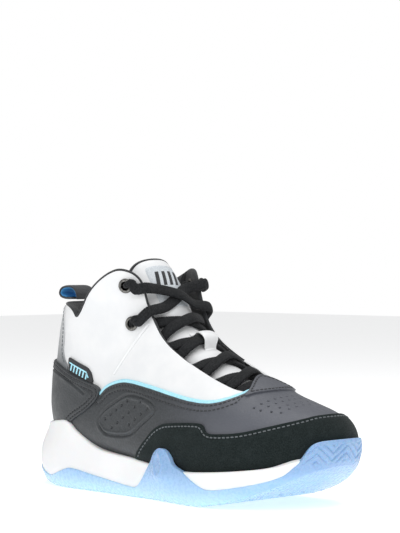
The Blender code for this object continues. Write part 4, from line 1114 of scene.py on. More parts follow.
def make_foxing():
    outline = foxing_outline()
    line = curve_through(FOXING_TOP)
    lozenge = closed_curve(LOZENGE)
    dimples = dimple_places()
    patch = patch_of_form(UPPER_OUTLINE, outline)
    near_lozenge = lambda r: np.abs(depth_inside(r, lozenge)) < 2.6
    patch = refined(*patch, near_lozenge, 0.75)
    patch = refined(*patch, lambda r: spots(dimples, r) < 2.1, 0.3)
    patch = refined(*patch, lambda r: perforation_distance(r) < 1.4, 0.28)

    def edge(rows):
        distance = from_line(rows, line)
        return np.where(rows[:, 0] > 64, 30.0, distance)

    def relief(rows):
        inner = depth_inside(rows, lozenge)
        emboss = 0.2 * ease((inner - 0.6) / 1.8) - 0.8 * bump(inner, 0.7) + 0.5 * bump(inner - 1.7, 0.8)
        emboss = emboss + 0.15 * bump(inner + 1.6, 0.8)
        dents = -1.3 * (1 - ease(spots(dimples, rows) / 1.4))
        dents = dents - 1.2 * (1 - ease(perforation_distance(rows) / 0.95))
        x, z = rows[:, 0], rows[:, 2]
        creases = 0.06 * np.sin(x * 0.9 + 3 * np.sin(z * 0.2)) * ease((x - 20) / 20)
        return emboss + dents + creases * (1 - ease((x - 60) / 14)) * ease((z - 40) / 12)

    allowed = lambda rows: (rows[:, 0] < 64) & (rows[:, 0] > -50)
    lay_panel(
        "foxing_and_toe_box_leather", "foxing_and_toe_box", "grey_leather", patch, edge,
        top=1.5, seams=(1.6, 4.6), relief=relief, allowed=allowed,
    )
    # Dark discs in the dents: under each perforation, the black lining seen through the hole; in each dimple, a
    # painted shade that stands in for the shadow in the dent.
    lining_and_dimple_shade = [
        shell(*keep_above(*patch, 0.66 - perforation_distance(patch[0]))[:2], 0.8, 0.1),
        shell(*keep_above(*patch, 0.8 - spots(dimples, patch[0]))[:2], 0.6, 0.1),
    ]
    make("foxing_perforation_lining_and_dimple_shade", *joined(lining_and_dimple_shade), "black_mesh")


def make_piping():
    line = curve_through(FOXING_TOP)
    band = np.vstack([shifted(line, -0.6), shifted(line, 2.1)[::-1]])
    edge = lambda rows: depth_inside(rows, band)
    for name, side in SIDES:
        patch = patch_of_form(UPPER_OUTLINE, band, side=side)
        node = f"piping_{name}"
        lay_panel(f"{node}_cord", node, "sky_blue_piping", patch, edge, top=1.25, base=0.02, radius=1.0)


def make_mudguard():
    line = curve_through(MUDGUARD_TOP)
    patch = patch_of_form(UPPER_OUTLINE, below(line))
    edge = lambda rows: from_line(rows, line)
    lay_panel(
        "toe_mudguard_suede", "toe_mudguard", "black_suede", patch, edge,
        top=2.8, base=1.0, radius=0.35, seams=(2.0,),
        relief=lambda rows: 0.08 * np.sin(rows[:, 0] * 0.35) * np.sin(rows[:, 1] * 0.3 + rows[:, 2] * 0.4),
        allowed=lambda rows: rows[:, 2] > 26, thread="grey_thread",
    )


def make_heel_panel():
    line = curve_through(HEEL_PANEL)
    groove = curve_through(HEEL_GROOVE)
    outline = np.vstack([line, [(-FAR, 16), (-FAR, 80)]])
    patch = patch_of_form(UPPER_OUTLINE, outline)
    patch = refined(*patch, lambda r: from_line(r, groove) < 1.6, 0.6)

    def relief(rows):
        gap = from_line(rows, groove)
        return 0.2 * bump(gap - 1.5, 0.7) - 0.6 * bump(gap, 0.7)

    lay_panel(
        "heel_panel_leather", "heel_panel", "grey_leather", patch, lambda rows: from_line(rows, line),
        top=2.8, seams=(1.6, 4.2),
        relief=relief,
        allowed=lambda rows: rows[:, 2] > 30,
    )


def make_throat_tab():
    """The pointed tab at the foot of the throat, laid out in plan. Its point stands clear of the tongue."""
    outline = closed_curve(THROAT_TAB)
    edge = lambda rows: depth_inside(rows, outline, PLAN_VIEW)
    rows, tris, _ = keep_above(FORM, FORM_TRIS, FORM[:, 2], 50.0)
    rows, tris, _ = keep_above(rows, tris, edge(rows))
    lay_panel(
        "throat_tab_leather", "throat_tab", "grey_leather", (rows, tris), edge,
        top=2.9, base=1.2, seams=(1.5,),
    )


def make_label():
    """A woven side tag with a generic pattern of slanting bars."""
    outline = rounded_corners(LABEL, 1.5)
    patch = patch_of_form(outline, side=LATERAL)
    edge = lambda rows: depth_inside(rows, outline)
    lay_panel("side_label_tag", "side_label", "black_binding", patch, edge, top=1.3, radius=0.4)
    fine = refined(*patch, lambda rows: edge(rows) > -1, 0.45)
    bars = []
    for k in range(6):
        x, z = -74.5 + 2.9 * k, 77.6 - 0.95 * k
        bar = np.array([(x, z - 3.6), (x + 1.1, z - 3.9), (x + 2.4, z - 0.2), (x + 1.3, z + 0.1)])
        bars.append(shell(*patch_of_form(bar, source=fine), 1.5, 1.1))
    line = np.array([(-75.2, 79.3), (-58.4, 73.8), (-56.4, 70), (-57.3, 70), (-59, 73.1), (-75.2, 78.4)])
    bars.append(shell(*patch_of_form(line, source=fine), 1.5, 1.1))
    make("side_label_bars", *joined(bars), "sky_blue_piping")


def make_backstay():
    outline = rounded_corners(BACKSTAY, 1.5)
    patch = patch_of_form(UPPER_OUTLINE, outline)
    edge = lambda rows: depth_inside(rows, outline)
    lay_panel(
        "backstay_strip_skin", "backstay", "silver_synthetic", patch, edge,
        top=1.0, base=0.02, radius=0.4, seams=(1.2,), allowed=lambda rows: rows[:, 2] > 78,
        thread="grey_thread",
    )


def make_inner_layers():
    """The stiffeners and backings between the skins and the linings."""
    floor = [(-130, FLOOR_LINE[0][1] + 5.5), *[(x, z + 4.6) for x, z in FLOOR_LINE], (130, 27)]
    collar = [p for p in COLLAR_EDGE[::-1].tolist() if p[0] < -36]
    inner = np.array([*floor, (130, 95), (70, 90), (67, 60), *LINING_FRONT[::-1], *collar], float)
    vamp_side = np.array([(x + 0.3, z) for x, z in TOE_SPLIT] + [(FAR, 0), (FAR, 100)], float)
    puff = np.array([(76, 0), (76, 100), (FAR, 100), (FAR, 0)], float)
    counter = np.array([(-FAR, 10), (-FAR, 83), (-98, 83), (-80, 76), (-64, 58), (-56, 42), (-52, 10)], float)
    plain = (
        ("vamp_backing_cloth", (UPPER_OUTLINE, vamp_side), 0, SKIN_DEPTH, "white_synthetic", "vamp_backing"),
        ("toe_puff_board", (inner, puff), -1.7, -3.0, "former_board", "toe_puff"),
        ("heel_counter_board", (inner, counter), -1.7, -3.0, "former_board", "heel_counter"),
        ("vamp_lining_mesh", (inner, vamp_side), -3.4, -4.2, "black_mesh", "vamp_lining"),
    )
    for name, outlines, outer, low, finish, node in plain:
        make(name, *shell(*patch_of_form(*outlines), outer, low), finish, nodes=[node])
    make_lining(inner)
    make_underlays()


def make_lining(inner):
    """The padded collar and lining in one: it rolls over the collar's edge and swells inwards below it."""
    rows, tris = patch_of_form(inner, QUARTER_REGION)
    edge = lambda r: np.where(r[:, 0] < -30, from_line(r, COLLAR_EDGE), 30.0)
    front = lambda r: from_line(r, curve_through(LINING_FRONT))
    rows, tris = edge_splits(rows, tris, edge, (0.15, 0.5, 1.2, 2.4, 4.2, 6.5))
    roll = np.clip(edge(rows) / 8.5, 0, 1)
    fade = np.sqrt(np.clip(1 - (1 - roll) ** 2, 0, 1))
    tuck = 1 - 0.75 * (1 - ease(front(rows) / 9)) * padding(rows)
    pad = COLLAR_PAD * padding(rows) * tuck
    seam = 0.9 * bump(rows[:, 2] - 96 - 0.15 * (rows[:, 0] + 60), 1.2) * padding(rows)
    inside_depth = -1.55 - (2.65 + pad) * fade + seam
    points, faces = shell(rows, tris, BEHIND_SKIN, inside_depth)
    made = make("collar_lining", points, faces, "black_mesh", nodes=["quarter_lining", "collar_foam"])


def make_underlays():
    """The black facing inside each throat edge, from the collar's front corner down to the toe."""
    throat = [COLLAR_LINE[-1], *THROAT_LINE[:-1]]
    inner = shifted(curve_through(throat), -17.0)
    outline = np.vstack([[(-34, 150), (0, 150), (46, 90), (46, 56)], inner[::-1], [(-33, 128)]])
    edge = lambda r: depth_inside(r, UPPER_OUTLINE)
    for name, side in SIDES:
        rows, tris = patch_of_form(UPPER_OUTLINE, outline, side=side)
        rows, tris = with_eyelet_holes(rows, tris, side)
        rows, tris = edge_splits(rows, tris, edge, (0.15, 0.5, 1.2, 2.4))
        swell = ease((rows[:, 2] - 108) / 12)
        fade = np.sqrt(np.clip(1 - (1 - np.clip(edge(rows) / 3.5, 0, 1)) ** 2, 0, 1))
        low = -1.5 - (0.9 + 0.5 * swell) * fade
        points, faces = shell(rows, tris, BEHIND_SKIN, low)
        make(f"eyestay_facing_{name}", points, faces, "black_mesh", nodes=[f"eyestay_underlay_{name}"])


def make_bindings():
    """The thin rolled edge on the collar and down the throat."""
    allowed = lambda r: ((r[:, 2] > 80) & (r[:, 0] < 24))
    edge = lambda r: depth_inside(r, UPPER_OUTLINE)
    for name, side in SIDES:
        rows, tris = patch_of_form(UPPER_OUTLINE, side=side)
        lines = seam_rows(rows, tris, edge, 0.12, allowed)
        line = resampled(smoothed(max(lines, key=len), 6), 1.0)
        taper = 1 - 0.45 * ease((line[:, 0] + 12) / 20)
        path = line[:, :3] - line[:, 3:6] * 0.75
        points, tris = tube(path, line[:, 3:6], 1.5 * taper, 2.3 * taper, 12)
        node = f"collar_binding_{name}"
        make(f"{node}_roll", points, tris, "black_binding", nodes=[node])


def make_eyelets():
    hole, rim = 2.5, 4.5
    barrel = hole + 0.9
    profile = [
        (hole, 0.2), (hole + 0.08, 0.75), (hole + 0.35, 1.15), (hole + 0.85, 1.32), (rim - 0.6, 1.15),
        (rim - 0.1, 0.65), (rim, 0.15), (rim - 0.3, -0.1), (barrel, -0.1), (barrel, -3.0), (rim - 0.4, -3.0),
        (rim - 0.35, -3.3), (rim - 0.8, -3.6), (hole + 0.3, -3.6), (hole, -3.2), (hole, -1.5),
    ]
    sides = 40
    for row, place in ((1, EYELET_1), (2, EYELET_2)):
        for name, side in SIDES:
            centre, axis = eyelet_frame(place, side)
            first = unit(np.cross(axis, (0, 0, 1)))
            second = np.cross(axis, first)
            points = []
            for turn in 2 * np.pi * np.arange(sides) / sides:
                spoke = first * np.cos(turn) + second * np.sin(turn)
                points += [centre + spoke * r + axis * h for r, h in profile]
            count = len(profile)
            tris = triangles_of_grid(sides + 1, count, wraps=True) % (sides * count)
            make(
                f"eyelet_{row}_{name}_ring", np.array(points), tris, "gunmetal",
                nodes=[f"eyelet_{row}_{name}"],
            )


# ---------------------------------------------------------------- tongue

def tongue_at(v, s, lift):
    """Points over the tongue and its normals there, for arrays of station, side and lift."""
    v, s, lift = np.broadcast_arrays(np.asarray(v, float), np.asarray(s, float), np.asarray(lift, float))
    flat_v = np.clip(v.ravel(), 0, TONGUE_TIP)
    x, z, half, drop, shift = spline_rows(TONGUE, flat_v).T
    step = spline_rows(TONGUE, flat_v + 0.02) - spline_rows(TONGUE, flat_v - 0.02)
    along = unit(np.c_[step[:, 0], np.zeros(len(step)), step[:, 1]])
    crown = np.c_[along[:, 2], np.zeros(len(step)), -along[:, 0]]
    side = s.ravel()
    fall = drop * np.abs(side) ** 2.2
    slope = 2.2 * drop * np.abs(side) ** 1.2 * np.sign(side) / half
    normal = unit(crown + slope[:, None] * np.array([0, 1.0, 0]))
    place = np.c_[x, shift + half * side, z] - fall[:, None] * crown + lift.ravel()[:, None] * normal
    return place.reshape(*v.shape, 3), normal.reshape(*v.shape, 3)


def tongue_place(v, s, lift):
    place, normal = tongue_at(v, s, lift)
    return place.reshape(3), normal.reshape(3)


def tongue_station(x, z):
    """The station of the tongue nearest to a point in side view."""
    v = np.linspace(0, TONGUE_TIP, 200)
    crown = spline_rows(TONGUE, v)
    return v[int(np.hypot(crown[:, 0] - x, crown[:, 1] - z).argmin())]


def tip_station(s):
    return TONGUE_TIP - TONGUE_CORNER * s**4


TONGUE_SEAM = -1.1  # lift of the edge seam between the tongue's skin and its lining
BEND = {
    "start": tuple(tongue_place(4.5, 0, 0)[0] * MM),
    "end": tuple(tongue_place(5.9, 0, 0)[0] * MM),
}


def tongue_swell(v, s):
    """How far the padded skin stands up: more between the laces than under them."""
    pressed = np.ones_like(v)
    for pair in LACE_ROWS:
        for place in pair:
            pressed = pressed * (1 - bump(v - tongue_station(*place), 0.30))
    pressed = pressed * (1 - bump(v - 6.3, 0.7))
    return (0.25 + 1.0 * pressed * ease((v - 0.6) / 0.5)) * (1 - np.abs(s) ** 3)


def make_tongue():
    share = np.linspace(0, 1, 96)[:, None]
    s = np.sin(np.linspace(-np.pi / 2, np.pi / 2, 45))[None, :]
    last = tip_station(s)
    near_tip = 1 - (1 - share) ** 1.6
    v = 0.05 + (last - 0.05) * (0.72 * share + 0.28 * near_tip)
    edge = np.clip(1 - np.abs(s) ** 7, 0, 1) ** 0.5
    tip = np.clip((last - v) / 0.28, 0, 1)
    full = edge * np.sqrt(1 - (1 - tip) ** 2)
    top = TONGUE_SEAM + (tongue_swell(v, s) - TONGUE_SEAM) * full
    thick = np.interp(v, TONGUE_BACK[:, 0], TONGUE_BACK[:, 1])
    back = TONGUE_SEAM - 0.05 - (thick + TONGUE_SEAM) * full
    rows, columns = v.shape
    tris = triangles_of_grid(rows, columns)
    lifts = (top, TONGUE_SEAM, TONGUE_SEAM - 0.05, back)
    sheets = [tongue_at(v, s, lift)[0].reshape(-1, 3) for lift in lifts]
    pieces = (
        ("tongue_padded_skin", 0, 1, "white_synthetic", ("shell", "foam")),
        ("tongue_lining_cloth", 2, 3, "black_mesh", ("lining",)),
    )
    for name, outer, inner, finish, layers in pieces:
        points = np.vstack([sheets[outer], sheets[inner]])
        nodes = [f"tongue_{layer}_{half}" for layer in layers for half in ("lower", "top")]
        made = make(name, points, closed_by(tris, rows * columns), finish, TONGUE_TOP, nodes, blended=BEND)
    make_tongue_binding()
    make_patch()
    make_keeper()


def make_tongue_binding():
    """A rolled edge up both sides of the tongue's free top and round its tip."""
    up = np.linspace(4.4, tip_station(1), 60)
    round_tip = np.sin(np.linspace(-np.pi / 2, np.pi / 2, 61))[1:-1]
    stops = [(v, -1.0) for v in up] + [(tip_station(s), s) for s in round_tip] + [(v, 1.0) for v in up[::-1]]
    v, s = np.array(stops).T
    place, normal = tongue_at(v, s, TONGUE_SEAM + 0.1)
    line = resampled(smoothed(np.c_[place, normal], 4), 1.0)
    points, tris = tube(line[:, :3], line[:, 3:6], 2.1, 2.7, 12)
    make("tongue_binding_roll", points, tris, "black_binding", TONGUE_TOP, ["tongue_binding"], blended=BEND)


def tongue_sheet(v, s, low, high):
    """A closed thin piece lying on the tongue between two heights above its skin."""
    under = tongue_swell(v, s)
    rows, columns = v.shape
    rim = np.ones(v.shape)
    rim[[0, -1], :] = 0
    rim[:, [0, -1]] = 0
    top = low + (high - low) * (0.45 + 0.55 * rim)
    sheets = [tongue_at(v, s, under + lift)[0].reshape(-1, 3) for lift in (top, low)]
    return np.vstack(sheets), closed_by(triangles_of_grid(rows, columns), rows * columns)


def make_patch():
    """A grey patch near the tongue's tip with a generic relief of slanting bars."""
    share = np.linspace(0, 1, 40)[:, None]
    across = np.linspace(-1, 1, 34)[None, :]
    v = 5.98 + (7.62 - 5.98) * share + 0.06 * np.abs(across) ** 4 * (0.5 - share)
    s = across * 0.60 * (1 - 0.10 * np.abs(2 * share - 1) ** 10)
    v, s = np.broadcast_arrays(v, s)
    panel = tongue_sheet(v, s, -0.2, 0.42)
    make("tongue_patch_panel", *panel, "patch_grey", TONGUE_TOP, ["tongue_patch"])
    bars = []
    for k in range(4):
        rise = np.linspace(0, 1, 12)[:, None]
        width = np.linspace(0, 1, 6)[None, :]
        bar_v = 6.88 + 0.52 * rise + 0 * width
        bar_s = -0.47 + 0.25 * k + 0.12 * rise + 0.13 * width
        bars.append(tongue_sheet(bar_v, bar_s, 0.2, 0.75))
    make("tongue_patch_bars", *joined(bars), "black_binding", TONGUE_TOP)


def make_keeper():
    """The strap on the tongue that a lace crossing runs under."""
    low, high = KEEPER_STATIONS
    profile = np.array([
        (0, 0.4), (0.08, 0.6), (0.16, 2.6), (0.26, KEEPER_HEIGHT - 1.2), (0.5, KEEPER_HEIGHT),
        (0.74, KEEPER_HEIGHT - 1.2), (0.84, 2.6), (0.92, 0.6), (1, 0.4),
    ])
    fine = spline_rows(profile, np.linspace(0, len(profile) - 1, 49))
    s = np.linspace(-0.25, 0.25, 13)[None, :]
    v = low + (high - low) * fine[:, :1]
    crowned = 0.35 * (1 - (s / 0.25) ** 4)
    over, _ = tongue_at(v, s, fine[:, 1:] + 0.75 + crowned)
    under, _ = tongue_at(v, s, fine[:, 1:] + 0.1 - 0.1 * crowned)
    points = np.vstack([over.reshape(-1, 3), under.reshape(-1, 3)])
    tris = closed_by(triangles_of_grid(len(fine), 13), len(fine) * 13)
    make("lace_keeper_strap", points, tris, "white_synthetic", nodes=["lace_keeper"])


# ---------------------------------------------------------------- lacing

def edge_place(point, side, over, depth):
    """A place by the throat edge, so far outwards from it over the flap, at a depth."""
    u, a = find_on_side(*point, side)
    a += side * over
    return on_form(u, a, depth), form_normal(u, a)


def eyelet_place(point, side, forward, depth):
    """A place on or beside an eyelet: forward of its axis by so much along the flap."""
    u, a = find_on_side(*point, side)
    a -= side * forward
    return on_form(u, a, depth), form_normal(u, a)


def strand_lift(over, share=1.0):
    return LACE_REST + LACE_THICK_CAD / 2 + (LACE_THICK_CAD + LACE_REST) * share * over


def crossing(start, end, side, over):
    """A strand over the tongue from one throat edge to the other. It starts and ends under the edges."""
    first, last = tongue_station(*start), tongue_station(*end)
    stops = [edge_place(start, side, 1, UNDER_FLAP)]
    for s in (0.62, 0.0, -0.62):
        v = first + (last - first) * (1 - s) / 2
        stops.append(tongue_place(v, s * side, strand_lift(over, 1.0 if s == 0 else 0.6)))
    stops.append(edge_place(end, -side, 1, UNDER_FLAP))
    return stops


def turn_under(start, end, side):
    """The hidden turn through a webbing loop, between two crossings."""
    middle = [(p + q) / 2 for p, q in zip(start, end)]
    return [edge_place(middle, side, LACE_TUCK, UNDER_FLAP)]


def laced_run(pairs, side):
    """Crossings from pair to pair of throat-edge places, every other one over the strand that it meets."""
    stops = []
    for k, (start, end) in enumerate(pairs):
        stops += crossing(start, end, side, over=k % 2 == 0)
        side = -side
        if k + 1 < len(pairs):
            stops += turn_under(end, pairs[k + 1][0], side)
    return stops


def through_eyelet(point, side, inwards):
    """Through an eyelet's hole, from outside to inside or back."""
    stops = [
        eyelet_place(point, side, forward, depth)
        for forward, depth in ((1.5, 1.8), (0.3, -0.8), (0, -3.4), (0.2, -5.0))
    ]
    return stops if inwards else stops[::-1]


def lace_route():
    """Stops along the whole lace as (place, normal, squeeze). squeeze is 1 inside an eyelet."""
    route = []

    def add(stops, squeeze=0.0):
        route.extend((place, normal, squeeze) for place, normal in stops)

    below_second = ((EYELET_2[0] + LACE_ROWS[3][1][0]) / 2 + 1, 106)
    add([eyelet_place(EYELET_1, LATERAL, -5, -5.0), eyelet_place(EYELET_1, LATERAL, -2, -5.4)])
    add(through_eyelet(EYELET_1, LATERAL, False), 1.0)
    add([eyelet_place(EYELET_1, LATERAL, 5.2, 3.1)], 0.6)
    add([edge_place((-16.5, 127), LATERAL, 4, 3.0), edge_place((-15.6, 125), LATERAL, -1.5, 3.2)])
    add([
        tongue_place(6.65, -0.55, strand_lift(1, 0.8)), tongue_place(6.3, 0, strand_lift(1)),
        tongue_place(5.98, 0.55, strand_lift(1, 0.8)),
    ])
    add([edge_place(OVER_MEDIAL_EDGE_A, MEDIAL, -1.5, 3.2), edge_place((-12.4, 111), MEDIAL, 4, 3.0)])
    add([eyelet_place(EYELET_2, MEDIAL, 5.2, 3.1)], 0.6)
    add(through_eyelet(EYELET_2, MEDIAL, True), 1.0)
    add([edge_place(below_second, MEDIAL, 2, -5.6)], 0.2)
    add(laced_run([(upper, lower) for lower, upper in LACE_ROWS[::-1]], MEDIAL))
    add([edge_place(BOTTOM_BAR, MEDIAL, 2, UNDER_FLAP)])
    add([tongue_place(0.5, s, strand_lift(0)) for s in (0.55, 0, -0.55)])
    add([edge_place(BOTTOM_BAR, LATERAL, 2, UNDER_FLAP)])
    add(laced_run(LACE_ROWS, LATERAL))
    add([edge_place(below_second, LATERAL, 2, -5.6)], 0.2)
    add(through_eyelet(EYELET_2, LATERAL, False), 1.0)
    add([eyelet_place(EYELET_2, LATERAL, 5.2, 3.1)], 0.6)
    add([edge_place((-13.2, 107.8), LATERAL, 4, 3.0), edge_place((-11.6, 110.5), LATERAL, -1.5, 3.4)])
    add([
        tongue_place(5.95, -0.55, strand_lift(0.25)), tongue_place(6.3, 0, strand_lift(0.1)),
        tongue_place(6.7, 0.55, strand_lift(0.25)),
    ])
    add([edge_place(OVER_MEDIAL_EDGE_B, MEDIAL, -1.5, 3.7), edge_place((-18, 127.4), MEDIAL, 3, 3.1)])
    add([eyelet_place(EYELET_1, MEDIAL, 5.2, 3.1)], 0.6)
    add(through_eyelet(EYELET_1, MEDIAL, True), 1.0)
    add([eyelet_place(EYELET_1, MEDIAL, -2, -5.4), eyelet_place(EYELET_1, MEDIAL, -5, -5.0)])
    return route


LACE_STEP = 0.5
BRAID_PITCH = 1.5


def make_lace():
    table = np.array([[*place, *normal, squeeze] for place, normal, squeeze in lace_route()])
    fine = spline_rows(table, np.linspace(0, len(table) - 1, 24 * len(table)))
    rows = resampled(fine, LACE_STEP)
    squeezed = np.clip(rows[:, 6], 0, 1)
    ribs = 1 + (0.035 + 0.05 * squeezed) * np.sin(2 * np.pi * np.arange(len(rows)) * LACE_STEP / BRAID_PITCH)
    widths = (LACE_WIDTH + (LACE_THROUGH_EYELET - LACE_WIDTH) * squeezed) * ribs
    thicks = (LACE_THICK + (LACE_THROUGH_EYELET - LACE_THICK) * squeezed) * ribs
    points, tris = tube(rows[:, :3], unit(rows[:, 3:6]), widths, thicks, 16, power=0.85)
    make("shoelace_braid", points, tris, "black_lace", nodes=["shoelace"], sharp=1.2)


# ---------------------------------------------------------------- pull tab

def make_pull_tab():
    """A folded webbing loop at the back of the collar, lined in blue."""
    outer = np.array([
        (-94.2, 118.0), (-95.4, 122.4), (-99, 125.8), (-104.5, 126.7), (-110, 125.5), (-112.4, 122.2),
        (-110.8, 119.2), (-106, 118.0), (-100, 118.1),
    ])
    strip("pull_tab_loop", outer, -0.15, 1.15, 8.0, "black_webbing", "pull_tab_webbing")
    strip("pull_tab_blue_face", outer[1:-1], 1.15, 1.75, 7.4, "bright_blue_lining", "pull_tab_lining")


def strip(name, line, near, far, half, finish, node):
    """A woven band across the heel whose section is an open line in side view."""
    count, columns = 90, 31
    curve = spline_rows(line, np.linspace(0, len(line) - 1, 30 * len(line)))
    fine = at_length(curve, np.linspace(0, arc_lengths(curve)[-1], count))
    across = np.sin(np.linspace(-np.pi / 2, np.pi / 2, columns))
    ribs = 0.07 * np.sin(np.arange(count) * 2 * np.pi / 3)[:, None]
    edge = np.sqrt(np.clip(1 - np.abs(across) ** 12, 0, 1))[None, :]
    middle, thick = (near + far) / 2, (far - near) / 2
    sheets = []
    for sign in (-1, 1):
        offset = middle + sign * (thick * (0.25 + 0.75 * edge) + ribs * edge)
        normal = shifted(fine, 1.0) - fine
        flat = fine[:, None] + normal[:, None] * offset[:, :, None]
        y = np.broadcast_to(across * half, flat.shape[:2])
        sheets.append(np.dstack([flat[:, :, 0], y, flat[:, :, 1]]).reshape(-1, 3))
    tris = closed_by(triangles_of_grid(count, columns), count * columns)
    make(name, np.vstack(sheets), tris, finish, PULL_TAB, [node])


# ---------------------------------------------------------------- sole unit

SPINE_ENDS = (-102, 104)  # the line along the sole's underside that its faces fan out from
LEVEL_UNDERSIDE = 24  # how many of its rings lie flat
OUTSOLE_THICK, MIDSOLE_THICK = 2.6, 6.5
BUMPER_BACK = 103
RING = (17.8, 22.5)  # centre of the ring on the side spike, in side view
WALL_LEVEL = 40  # a ring halfway up the wall


def toe_spring(x):
    return 0.0045 * np.maximum(x - 40, 0) ** 2 + 0.012 * np.maximum(-100 - x, 0) ** 2


def sole_rim():
    """The plan outline with outward normals. Each lateral point has its medial partner at the same x."""
    last = len(SOLE_PLAN) - 1
    rough = np.linspace(0, last, 600)
    rows = spline_rows(SOLE_PLAN, rough)
    steps = np.diff(rows, axis=0)
    travel = np.maximum(np.hypot(steps[:, 0], steps[:, 1]), np.hypot(steps[:, 0], steps[:, 2]))
    reach = np.r_[0, np.cumsum(travel)]
    u = np.interp(np.linspace(0, reach[-1], int(reach[-1] / 1.5)), reach, rough)
    rows = spline_rows(SOLE_PLAN, u)
    rim = np.vstack([np.c_[rows[:, 0], -rows[:, 1]], np.c_[rows[:, 0], rows[:, 2]][::-1][1:-1]])
    along = np.roll(rim, -1, axis=0) - np.roll(rim, 1, axis=0)
    out = unit(np.c_[along[:, 1], -along[:, 0]])
    along = np.clip(rows[:, 0], *SPINE_ENDS)
    spine = np.c_[along, np.interp(along, rows[:, 0], (rows[:, 2] - rows[:, 1]) / 2)]
    spine = np.vstack([spine, spine[::-1][1:-1]])
    return rim, out, spine


def wall_inset(rim, out, height):
    back = np.clip(-out[:, 0], 0, 1)
    front = np.clip(out[:, 0], 0, 1) * np.clip((rim[:, 0] - 60) / 40, 0, 1)
    inset = smooth_table(WALL_HEEL, height) * back + smooth_table(WALL_TOE, height) * front
    inset += smooth_table(WALL_SIDE, height) * (1 - back - front)
    rise = ease((height - 8) / 10)
    return inset - 2.2 * rise * bump(rim[:, 0] - 20, 13)


def fine_sole():
    """The sole's outer surface as rows (point, normal, girth, height) and triangles."""
    rim, out, spine = sole_rim()
    girth = np.r_[0, np.cumsum(np.linalg.norm(np.diff(rim, axis=0), axis=1))]
    foot = rim - out * wall_inset(rim, out, 0.0)[:, None]
    levels = []
    for share in np.linspace(0, 1, 30)[:-1]:
        flat = spine + (foot - spine) * share
        levels.append(np.c_[flat, toe_spring(flat[:, 0]), np.zeros(len(rim))])
    heights = np.r_[np.linspace(0, 3, 5)[:-1], np.linspace(3, 52, 44)]
    for height in heights:
        flat = rim - out * wall_inset(rim, out, height)[:, None]
        levels.append(np.c_[flat, toe_spring(flat[:, 0]) + height, np.full(len(rim), height)])
    grid = np.array(levels)
    points = grid[:, :, :3]
    along = np.gradient(points, axis=0)
    across = (np.roll(points, -1, axis=1) - np.roll(points, 1, axis=1)) / 2
    normals = unit(np.cross(along, across))
    wall = points[WALL_LEVEL]
    if ((wall - wall.mean(axis=0)) * normals[WALL_LEVEL]).sum() < 0:
        normals = -normals
    normals[:LEVEL_UNDERSIDE] = (0, 0, -1)
    rows = np.dstack([points, normals, np.broadcast_to(girth, points.shape[:2]), grid[:, :, 3]])
    tris = triangles_of_grid(*points.shape[:2], wraps=True)
    rows, tris = welded(rows.reshape(-1, 8), tris)
    return rows, facing_normals(rows, tris)


def zigzag(x):
    """A triangle wave between 0 and 1, of period 1."""
    return np.abs(2 * (x - np.floor(x)) - 1)


def ridge(phase, sharp=0.25):
    """1 along grooves once a period, 0 between them."""
    return 1 - ease(np.abs(phase - np.round(phase)) / sharp)


def tread(rows):
    """Herringbone grooves under the sole."""
    x, y = rows[:, 0], rows[:, 1]
    pattern = ridge(x / 7.5 + 0.9 * zigzag(y / 18.0), 0.2)
    under = ease((0.9 - rows[:, 7]) / 0.8) * ease((-rows[:, 5] - 0.6) / 0.3)
    waist = 1 - ease((18 - np.abs(x + 22)) / 6)
    on_ground = ease((86 - x) / 12) * ease((x + 112) / 8)
    return -1.1 * pattern * under * waist * on_ground


def wall_relief(rows):
    """Ribs along the sole's lower edge, chevrons on the toe bumper and the ring on the spike."""
    x, z, girth, height = rows[:, 0], rows[:, 2], rows[:, 6], rows[:, 7]
    band = ease((height - 1.0) / 1.2) * ease((6.0 - height) / 1.5)
    ribs = -0.3 * band * ridge(girth / 5.0 + height * 0.12, 0.35)
    on_wall = ease((height - 9) / 2)
    around = rows[:, 1] - 8
    nested = z / 4.2 + 2.0 * zigzag(around / 21.0 + 0.5)
    bumper = ease((x - 104) / 4) * ease((z - 27) / 2.5) * ease((39.5 - z) / 2)
    chevrons = -0.7 * ridge(nested, 0.3) * bumper
    oval = np.hypot((x - RING[0]) / 4.2, (z - RING[1]) / 7.0)
    ring = (0.45 * bump(oval - 1, 0.22) - 0.25 * ease((0.8 - oval) / 0.2)) * on_wall
    return ribs + chevrons + ring * (np.abs(rows[:, 4]) > 0.5)


def make_sole():
    rows, tris = fine_sole()
    outsole_line = curve_through(OUTSOLE_TOP)
    make_outsole(rows, tris, outsole_line)
    make_midsole(rows, tris, outsole_line)


def make_outsole(rows, tris, outsole_line):
    patch = patch_of_form(below(outsole_line), source=(rows, tris))
    on_bumper = lambda r: (r[:, 0] > BUMPER_BACK) & (r[:, 2] > 25)
    on_ring = lambda r: (np.linalg.norm(r[:, [0, 2]] - RING, axis=1) < 10) & (np.abs(r[:, 4]) > 0.5)
    patch = refined(*refined(*patch, on_bumper, 0.55), on_ring, 0.8)
    edge = lambda r: from_line(r, outsole_line)
    rows, tris = edge_splits(*patch, edge, (0.08, 0.25, 0.6))
    height = rolled(edge(rows), 0.55, 0.5) * ease(rows[:, 7] / 3) + tread(rows) + wall_relief(rows)
    points, faces = shell(rows, tris, height, -OUTSOLE_THICK)
    make("outsole_rubber", points, faces, "ice_blue_rubber", nodes=["outsole"])


def make_midsole(rows, tris, outsole_line):
    midsole_line = curve_through(MIDSOLE_TOP)
    above = np.vstack([shifted(outsole_line, -2.0), [(FAR, 90), (-FAR, 90)]])
    rows, tris = patch_of_form(below(midsole_line), above, source=(rows, tris))
    edge = lambda r: from_line(r, midsole_line)
    rows, tris = edge_splits(rows, tris, edge, (0.12, 0.4, 0.9, 1.4))
    height = rolled(edge(rows), 0.0, 1.3)
    crease = 0.35 * bump(from_line(rows, shifted(outsole_line, 0.6)), 0.5)
    points, faces = shell(rows, tris, height - crease, -MIDSOLE_THICK)
    make("midsole_eva", points, faces, "white_eva", nodes=["midsole"])


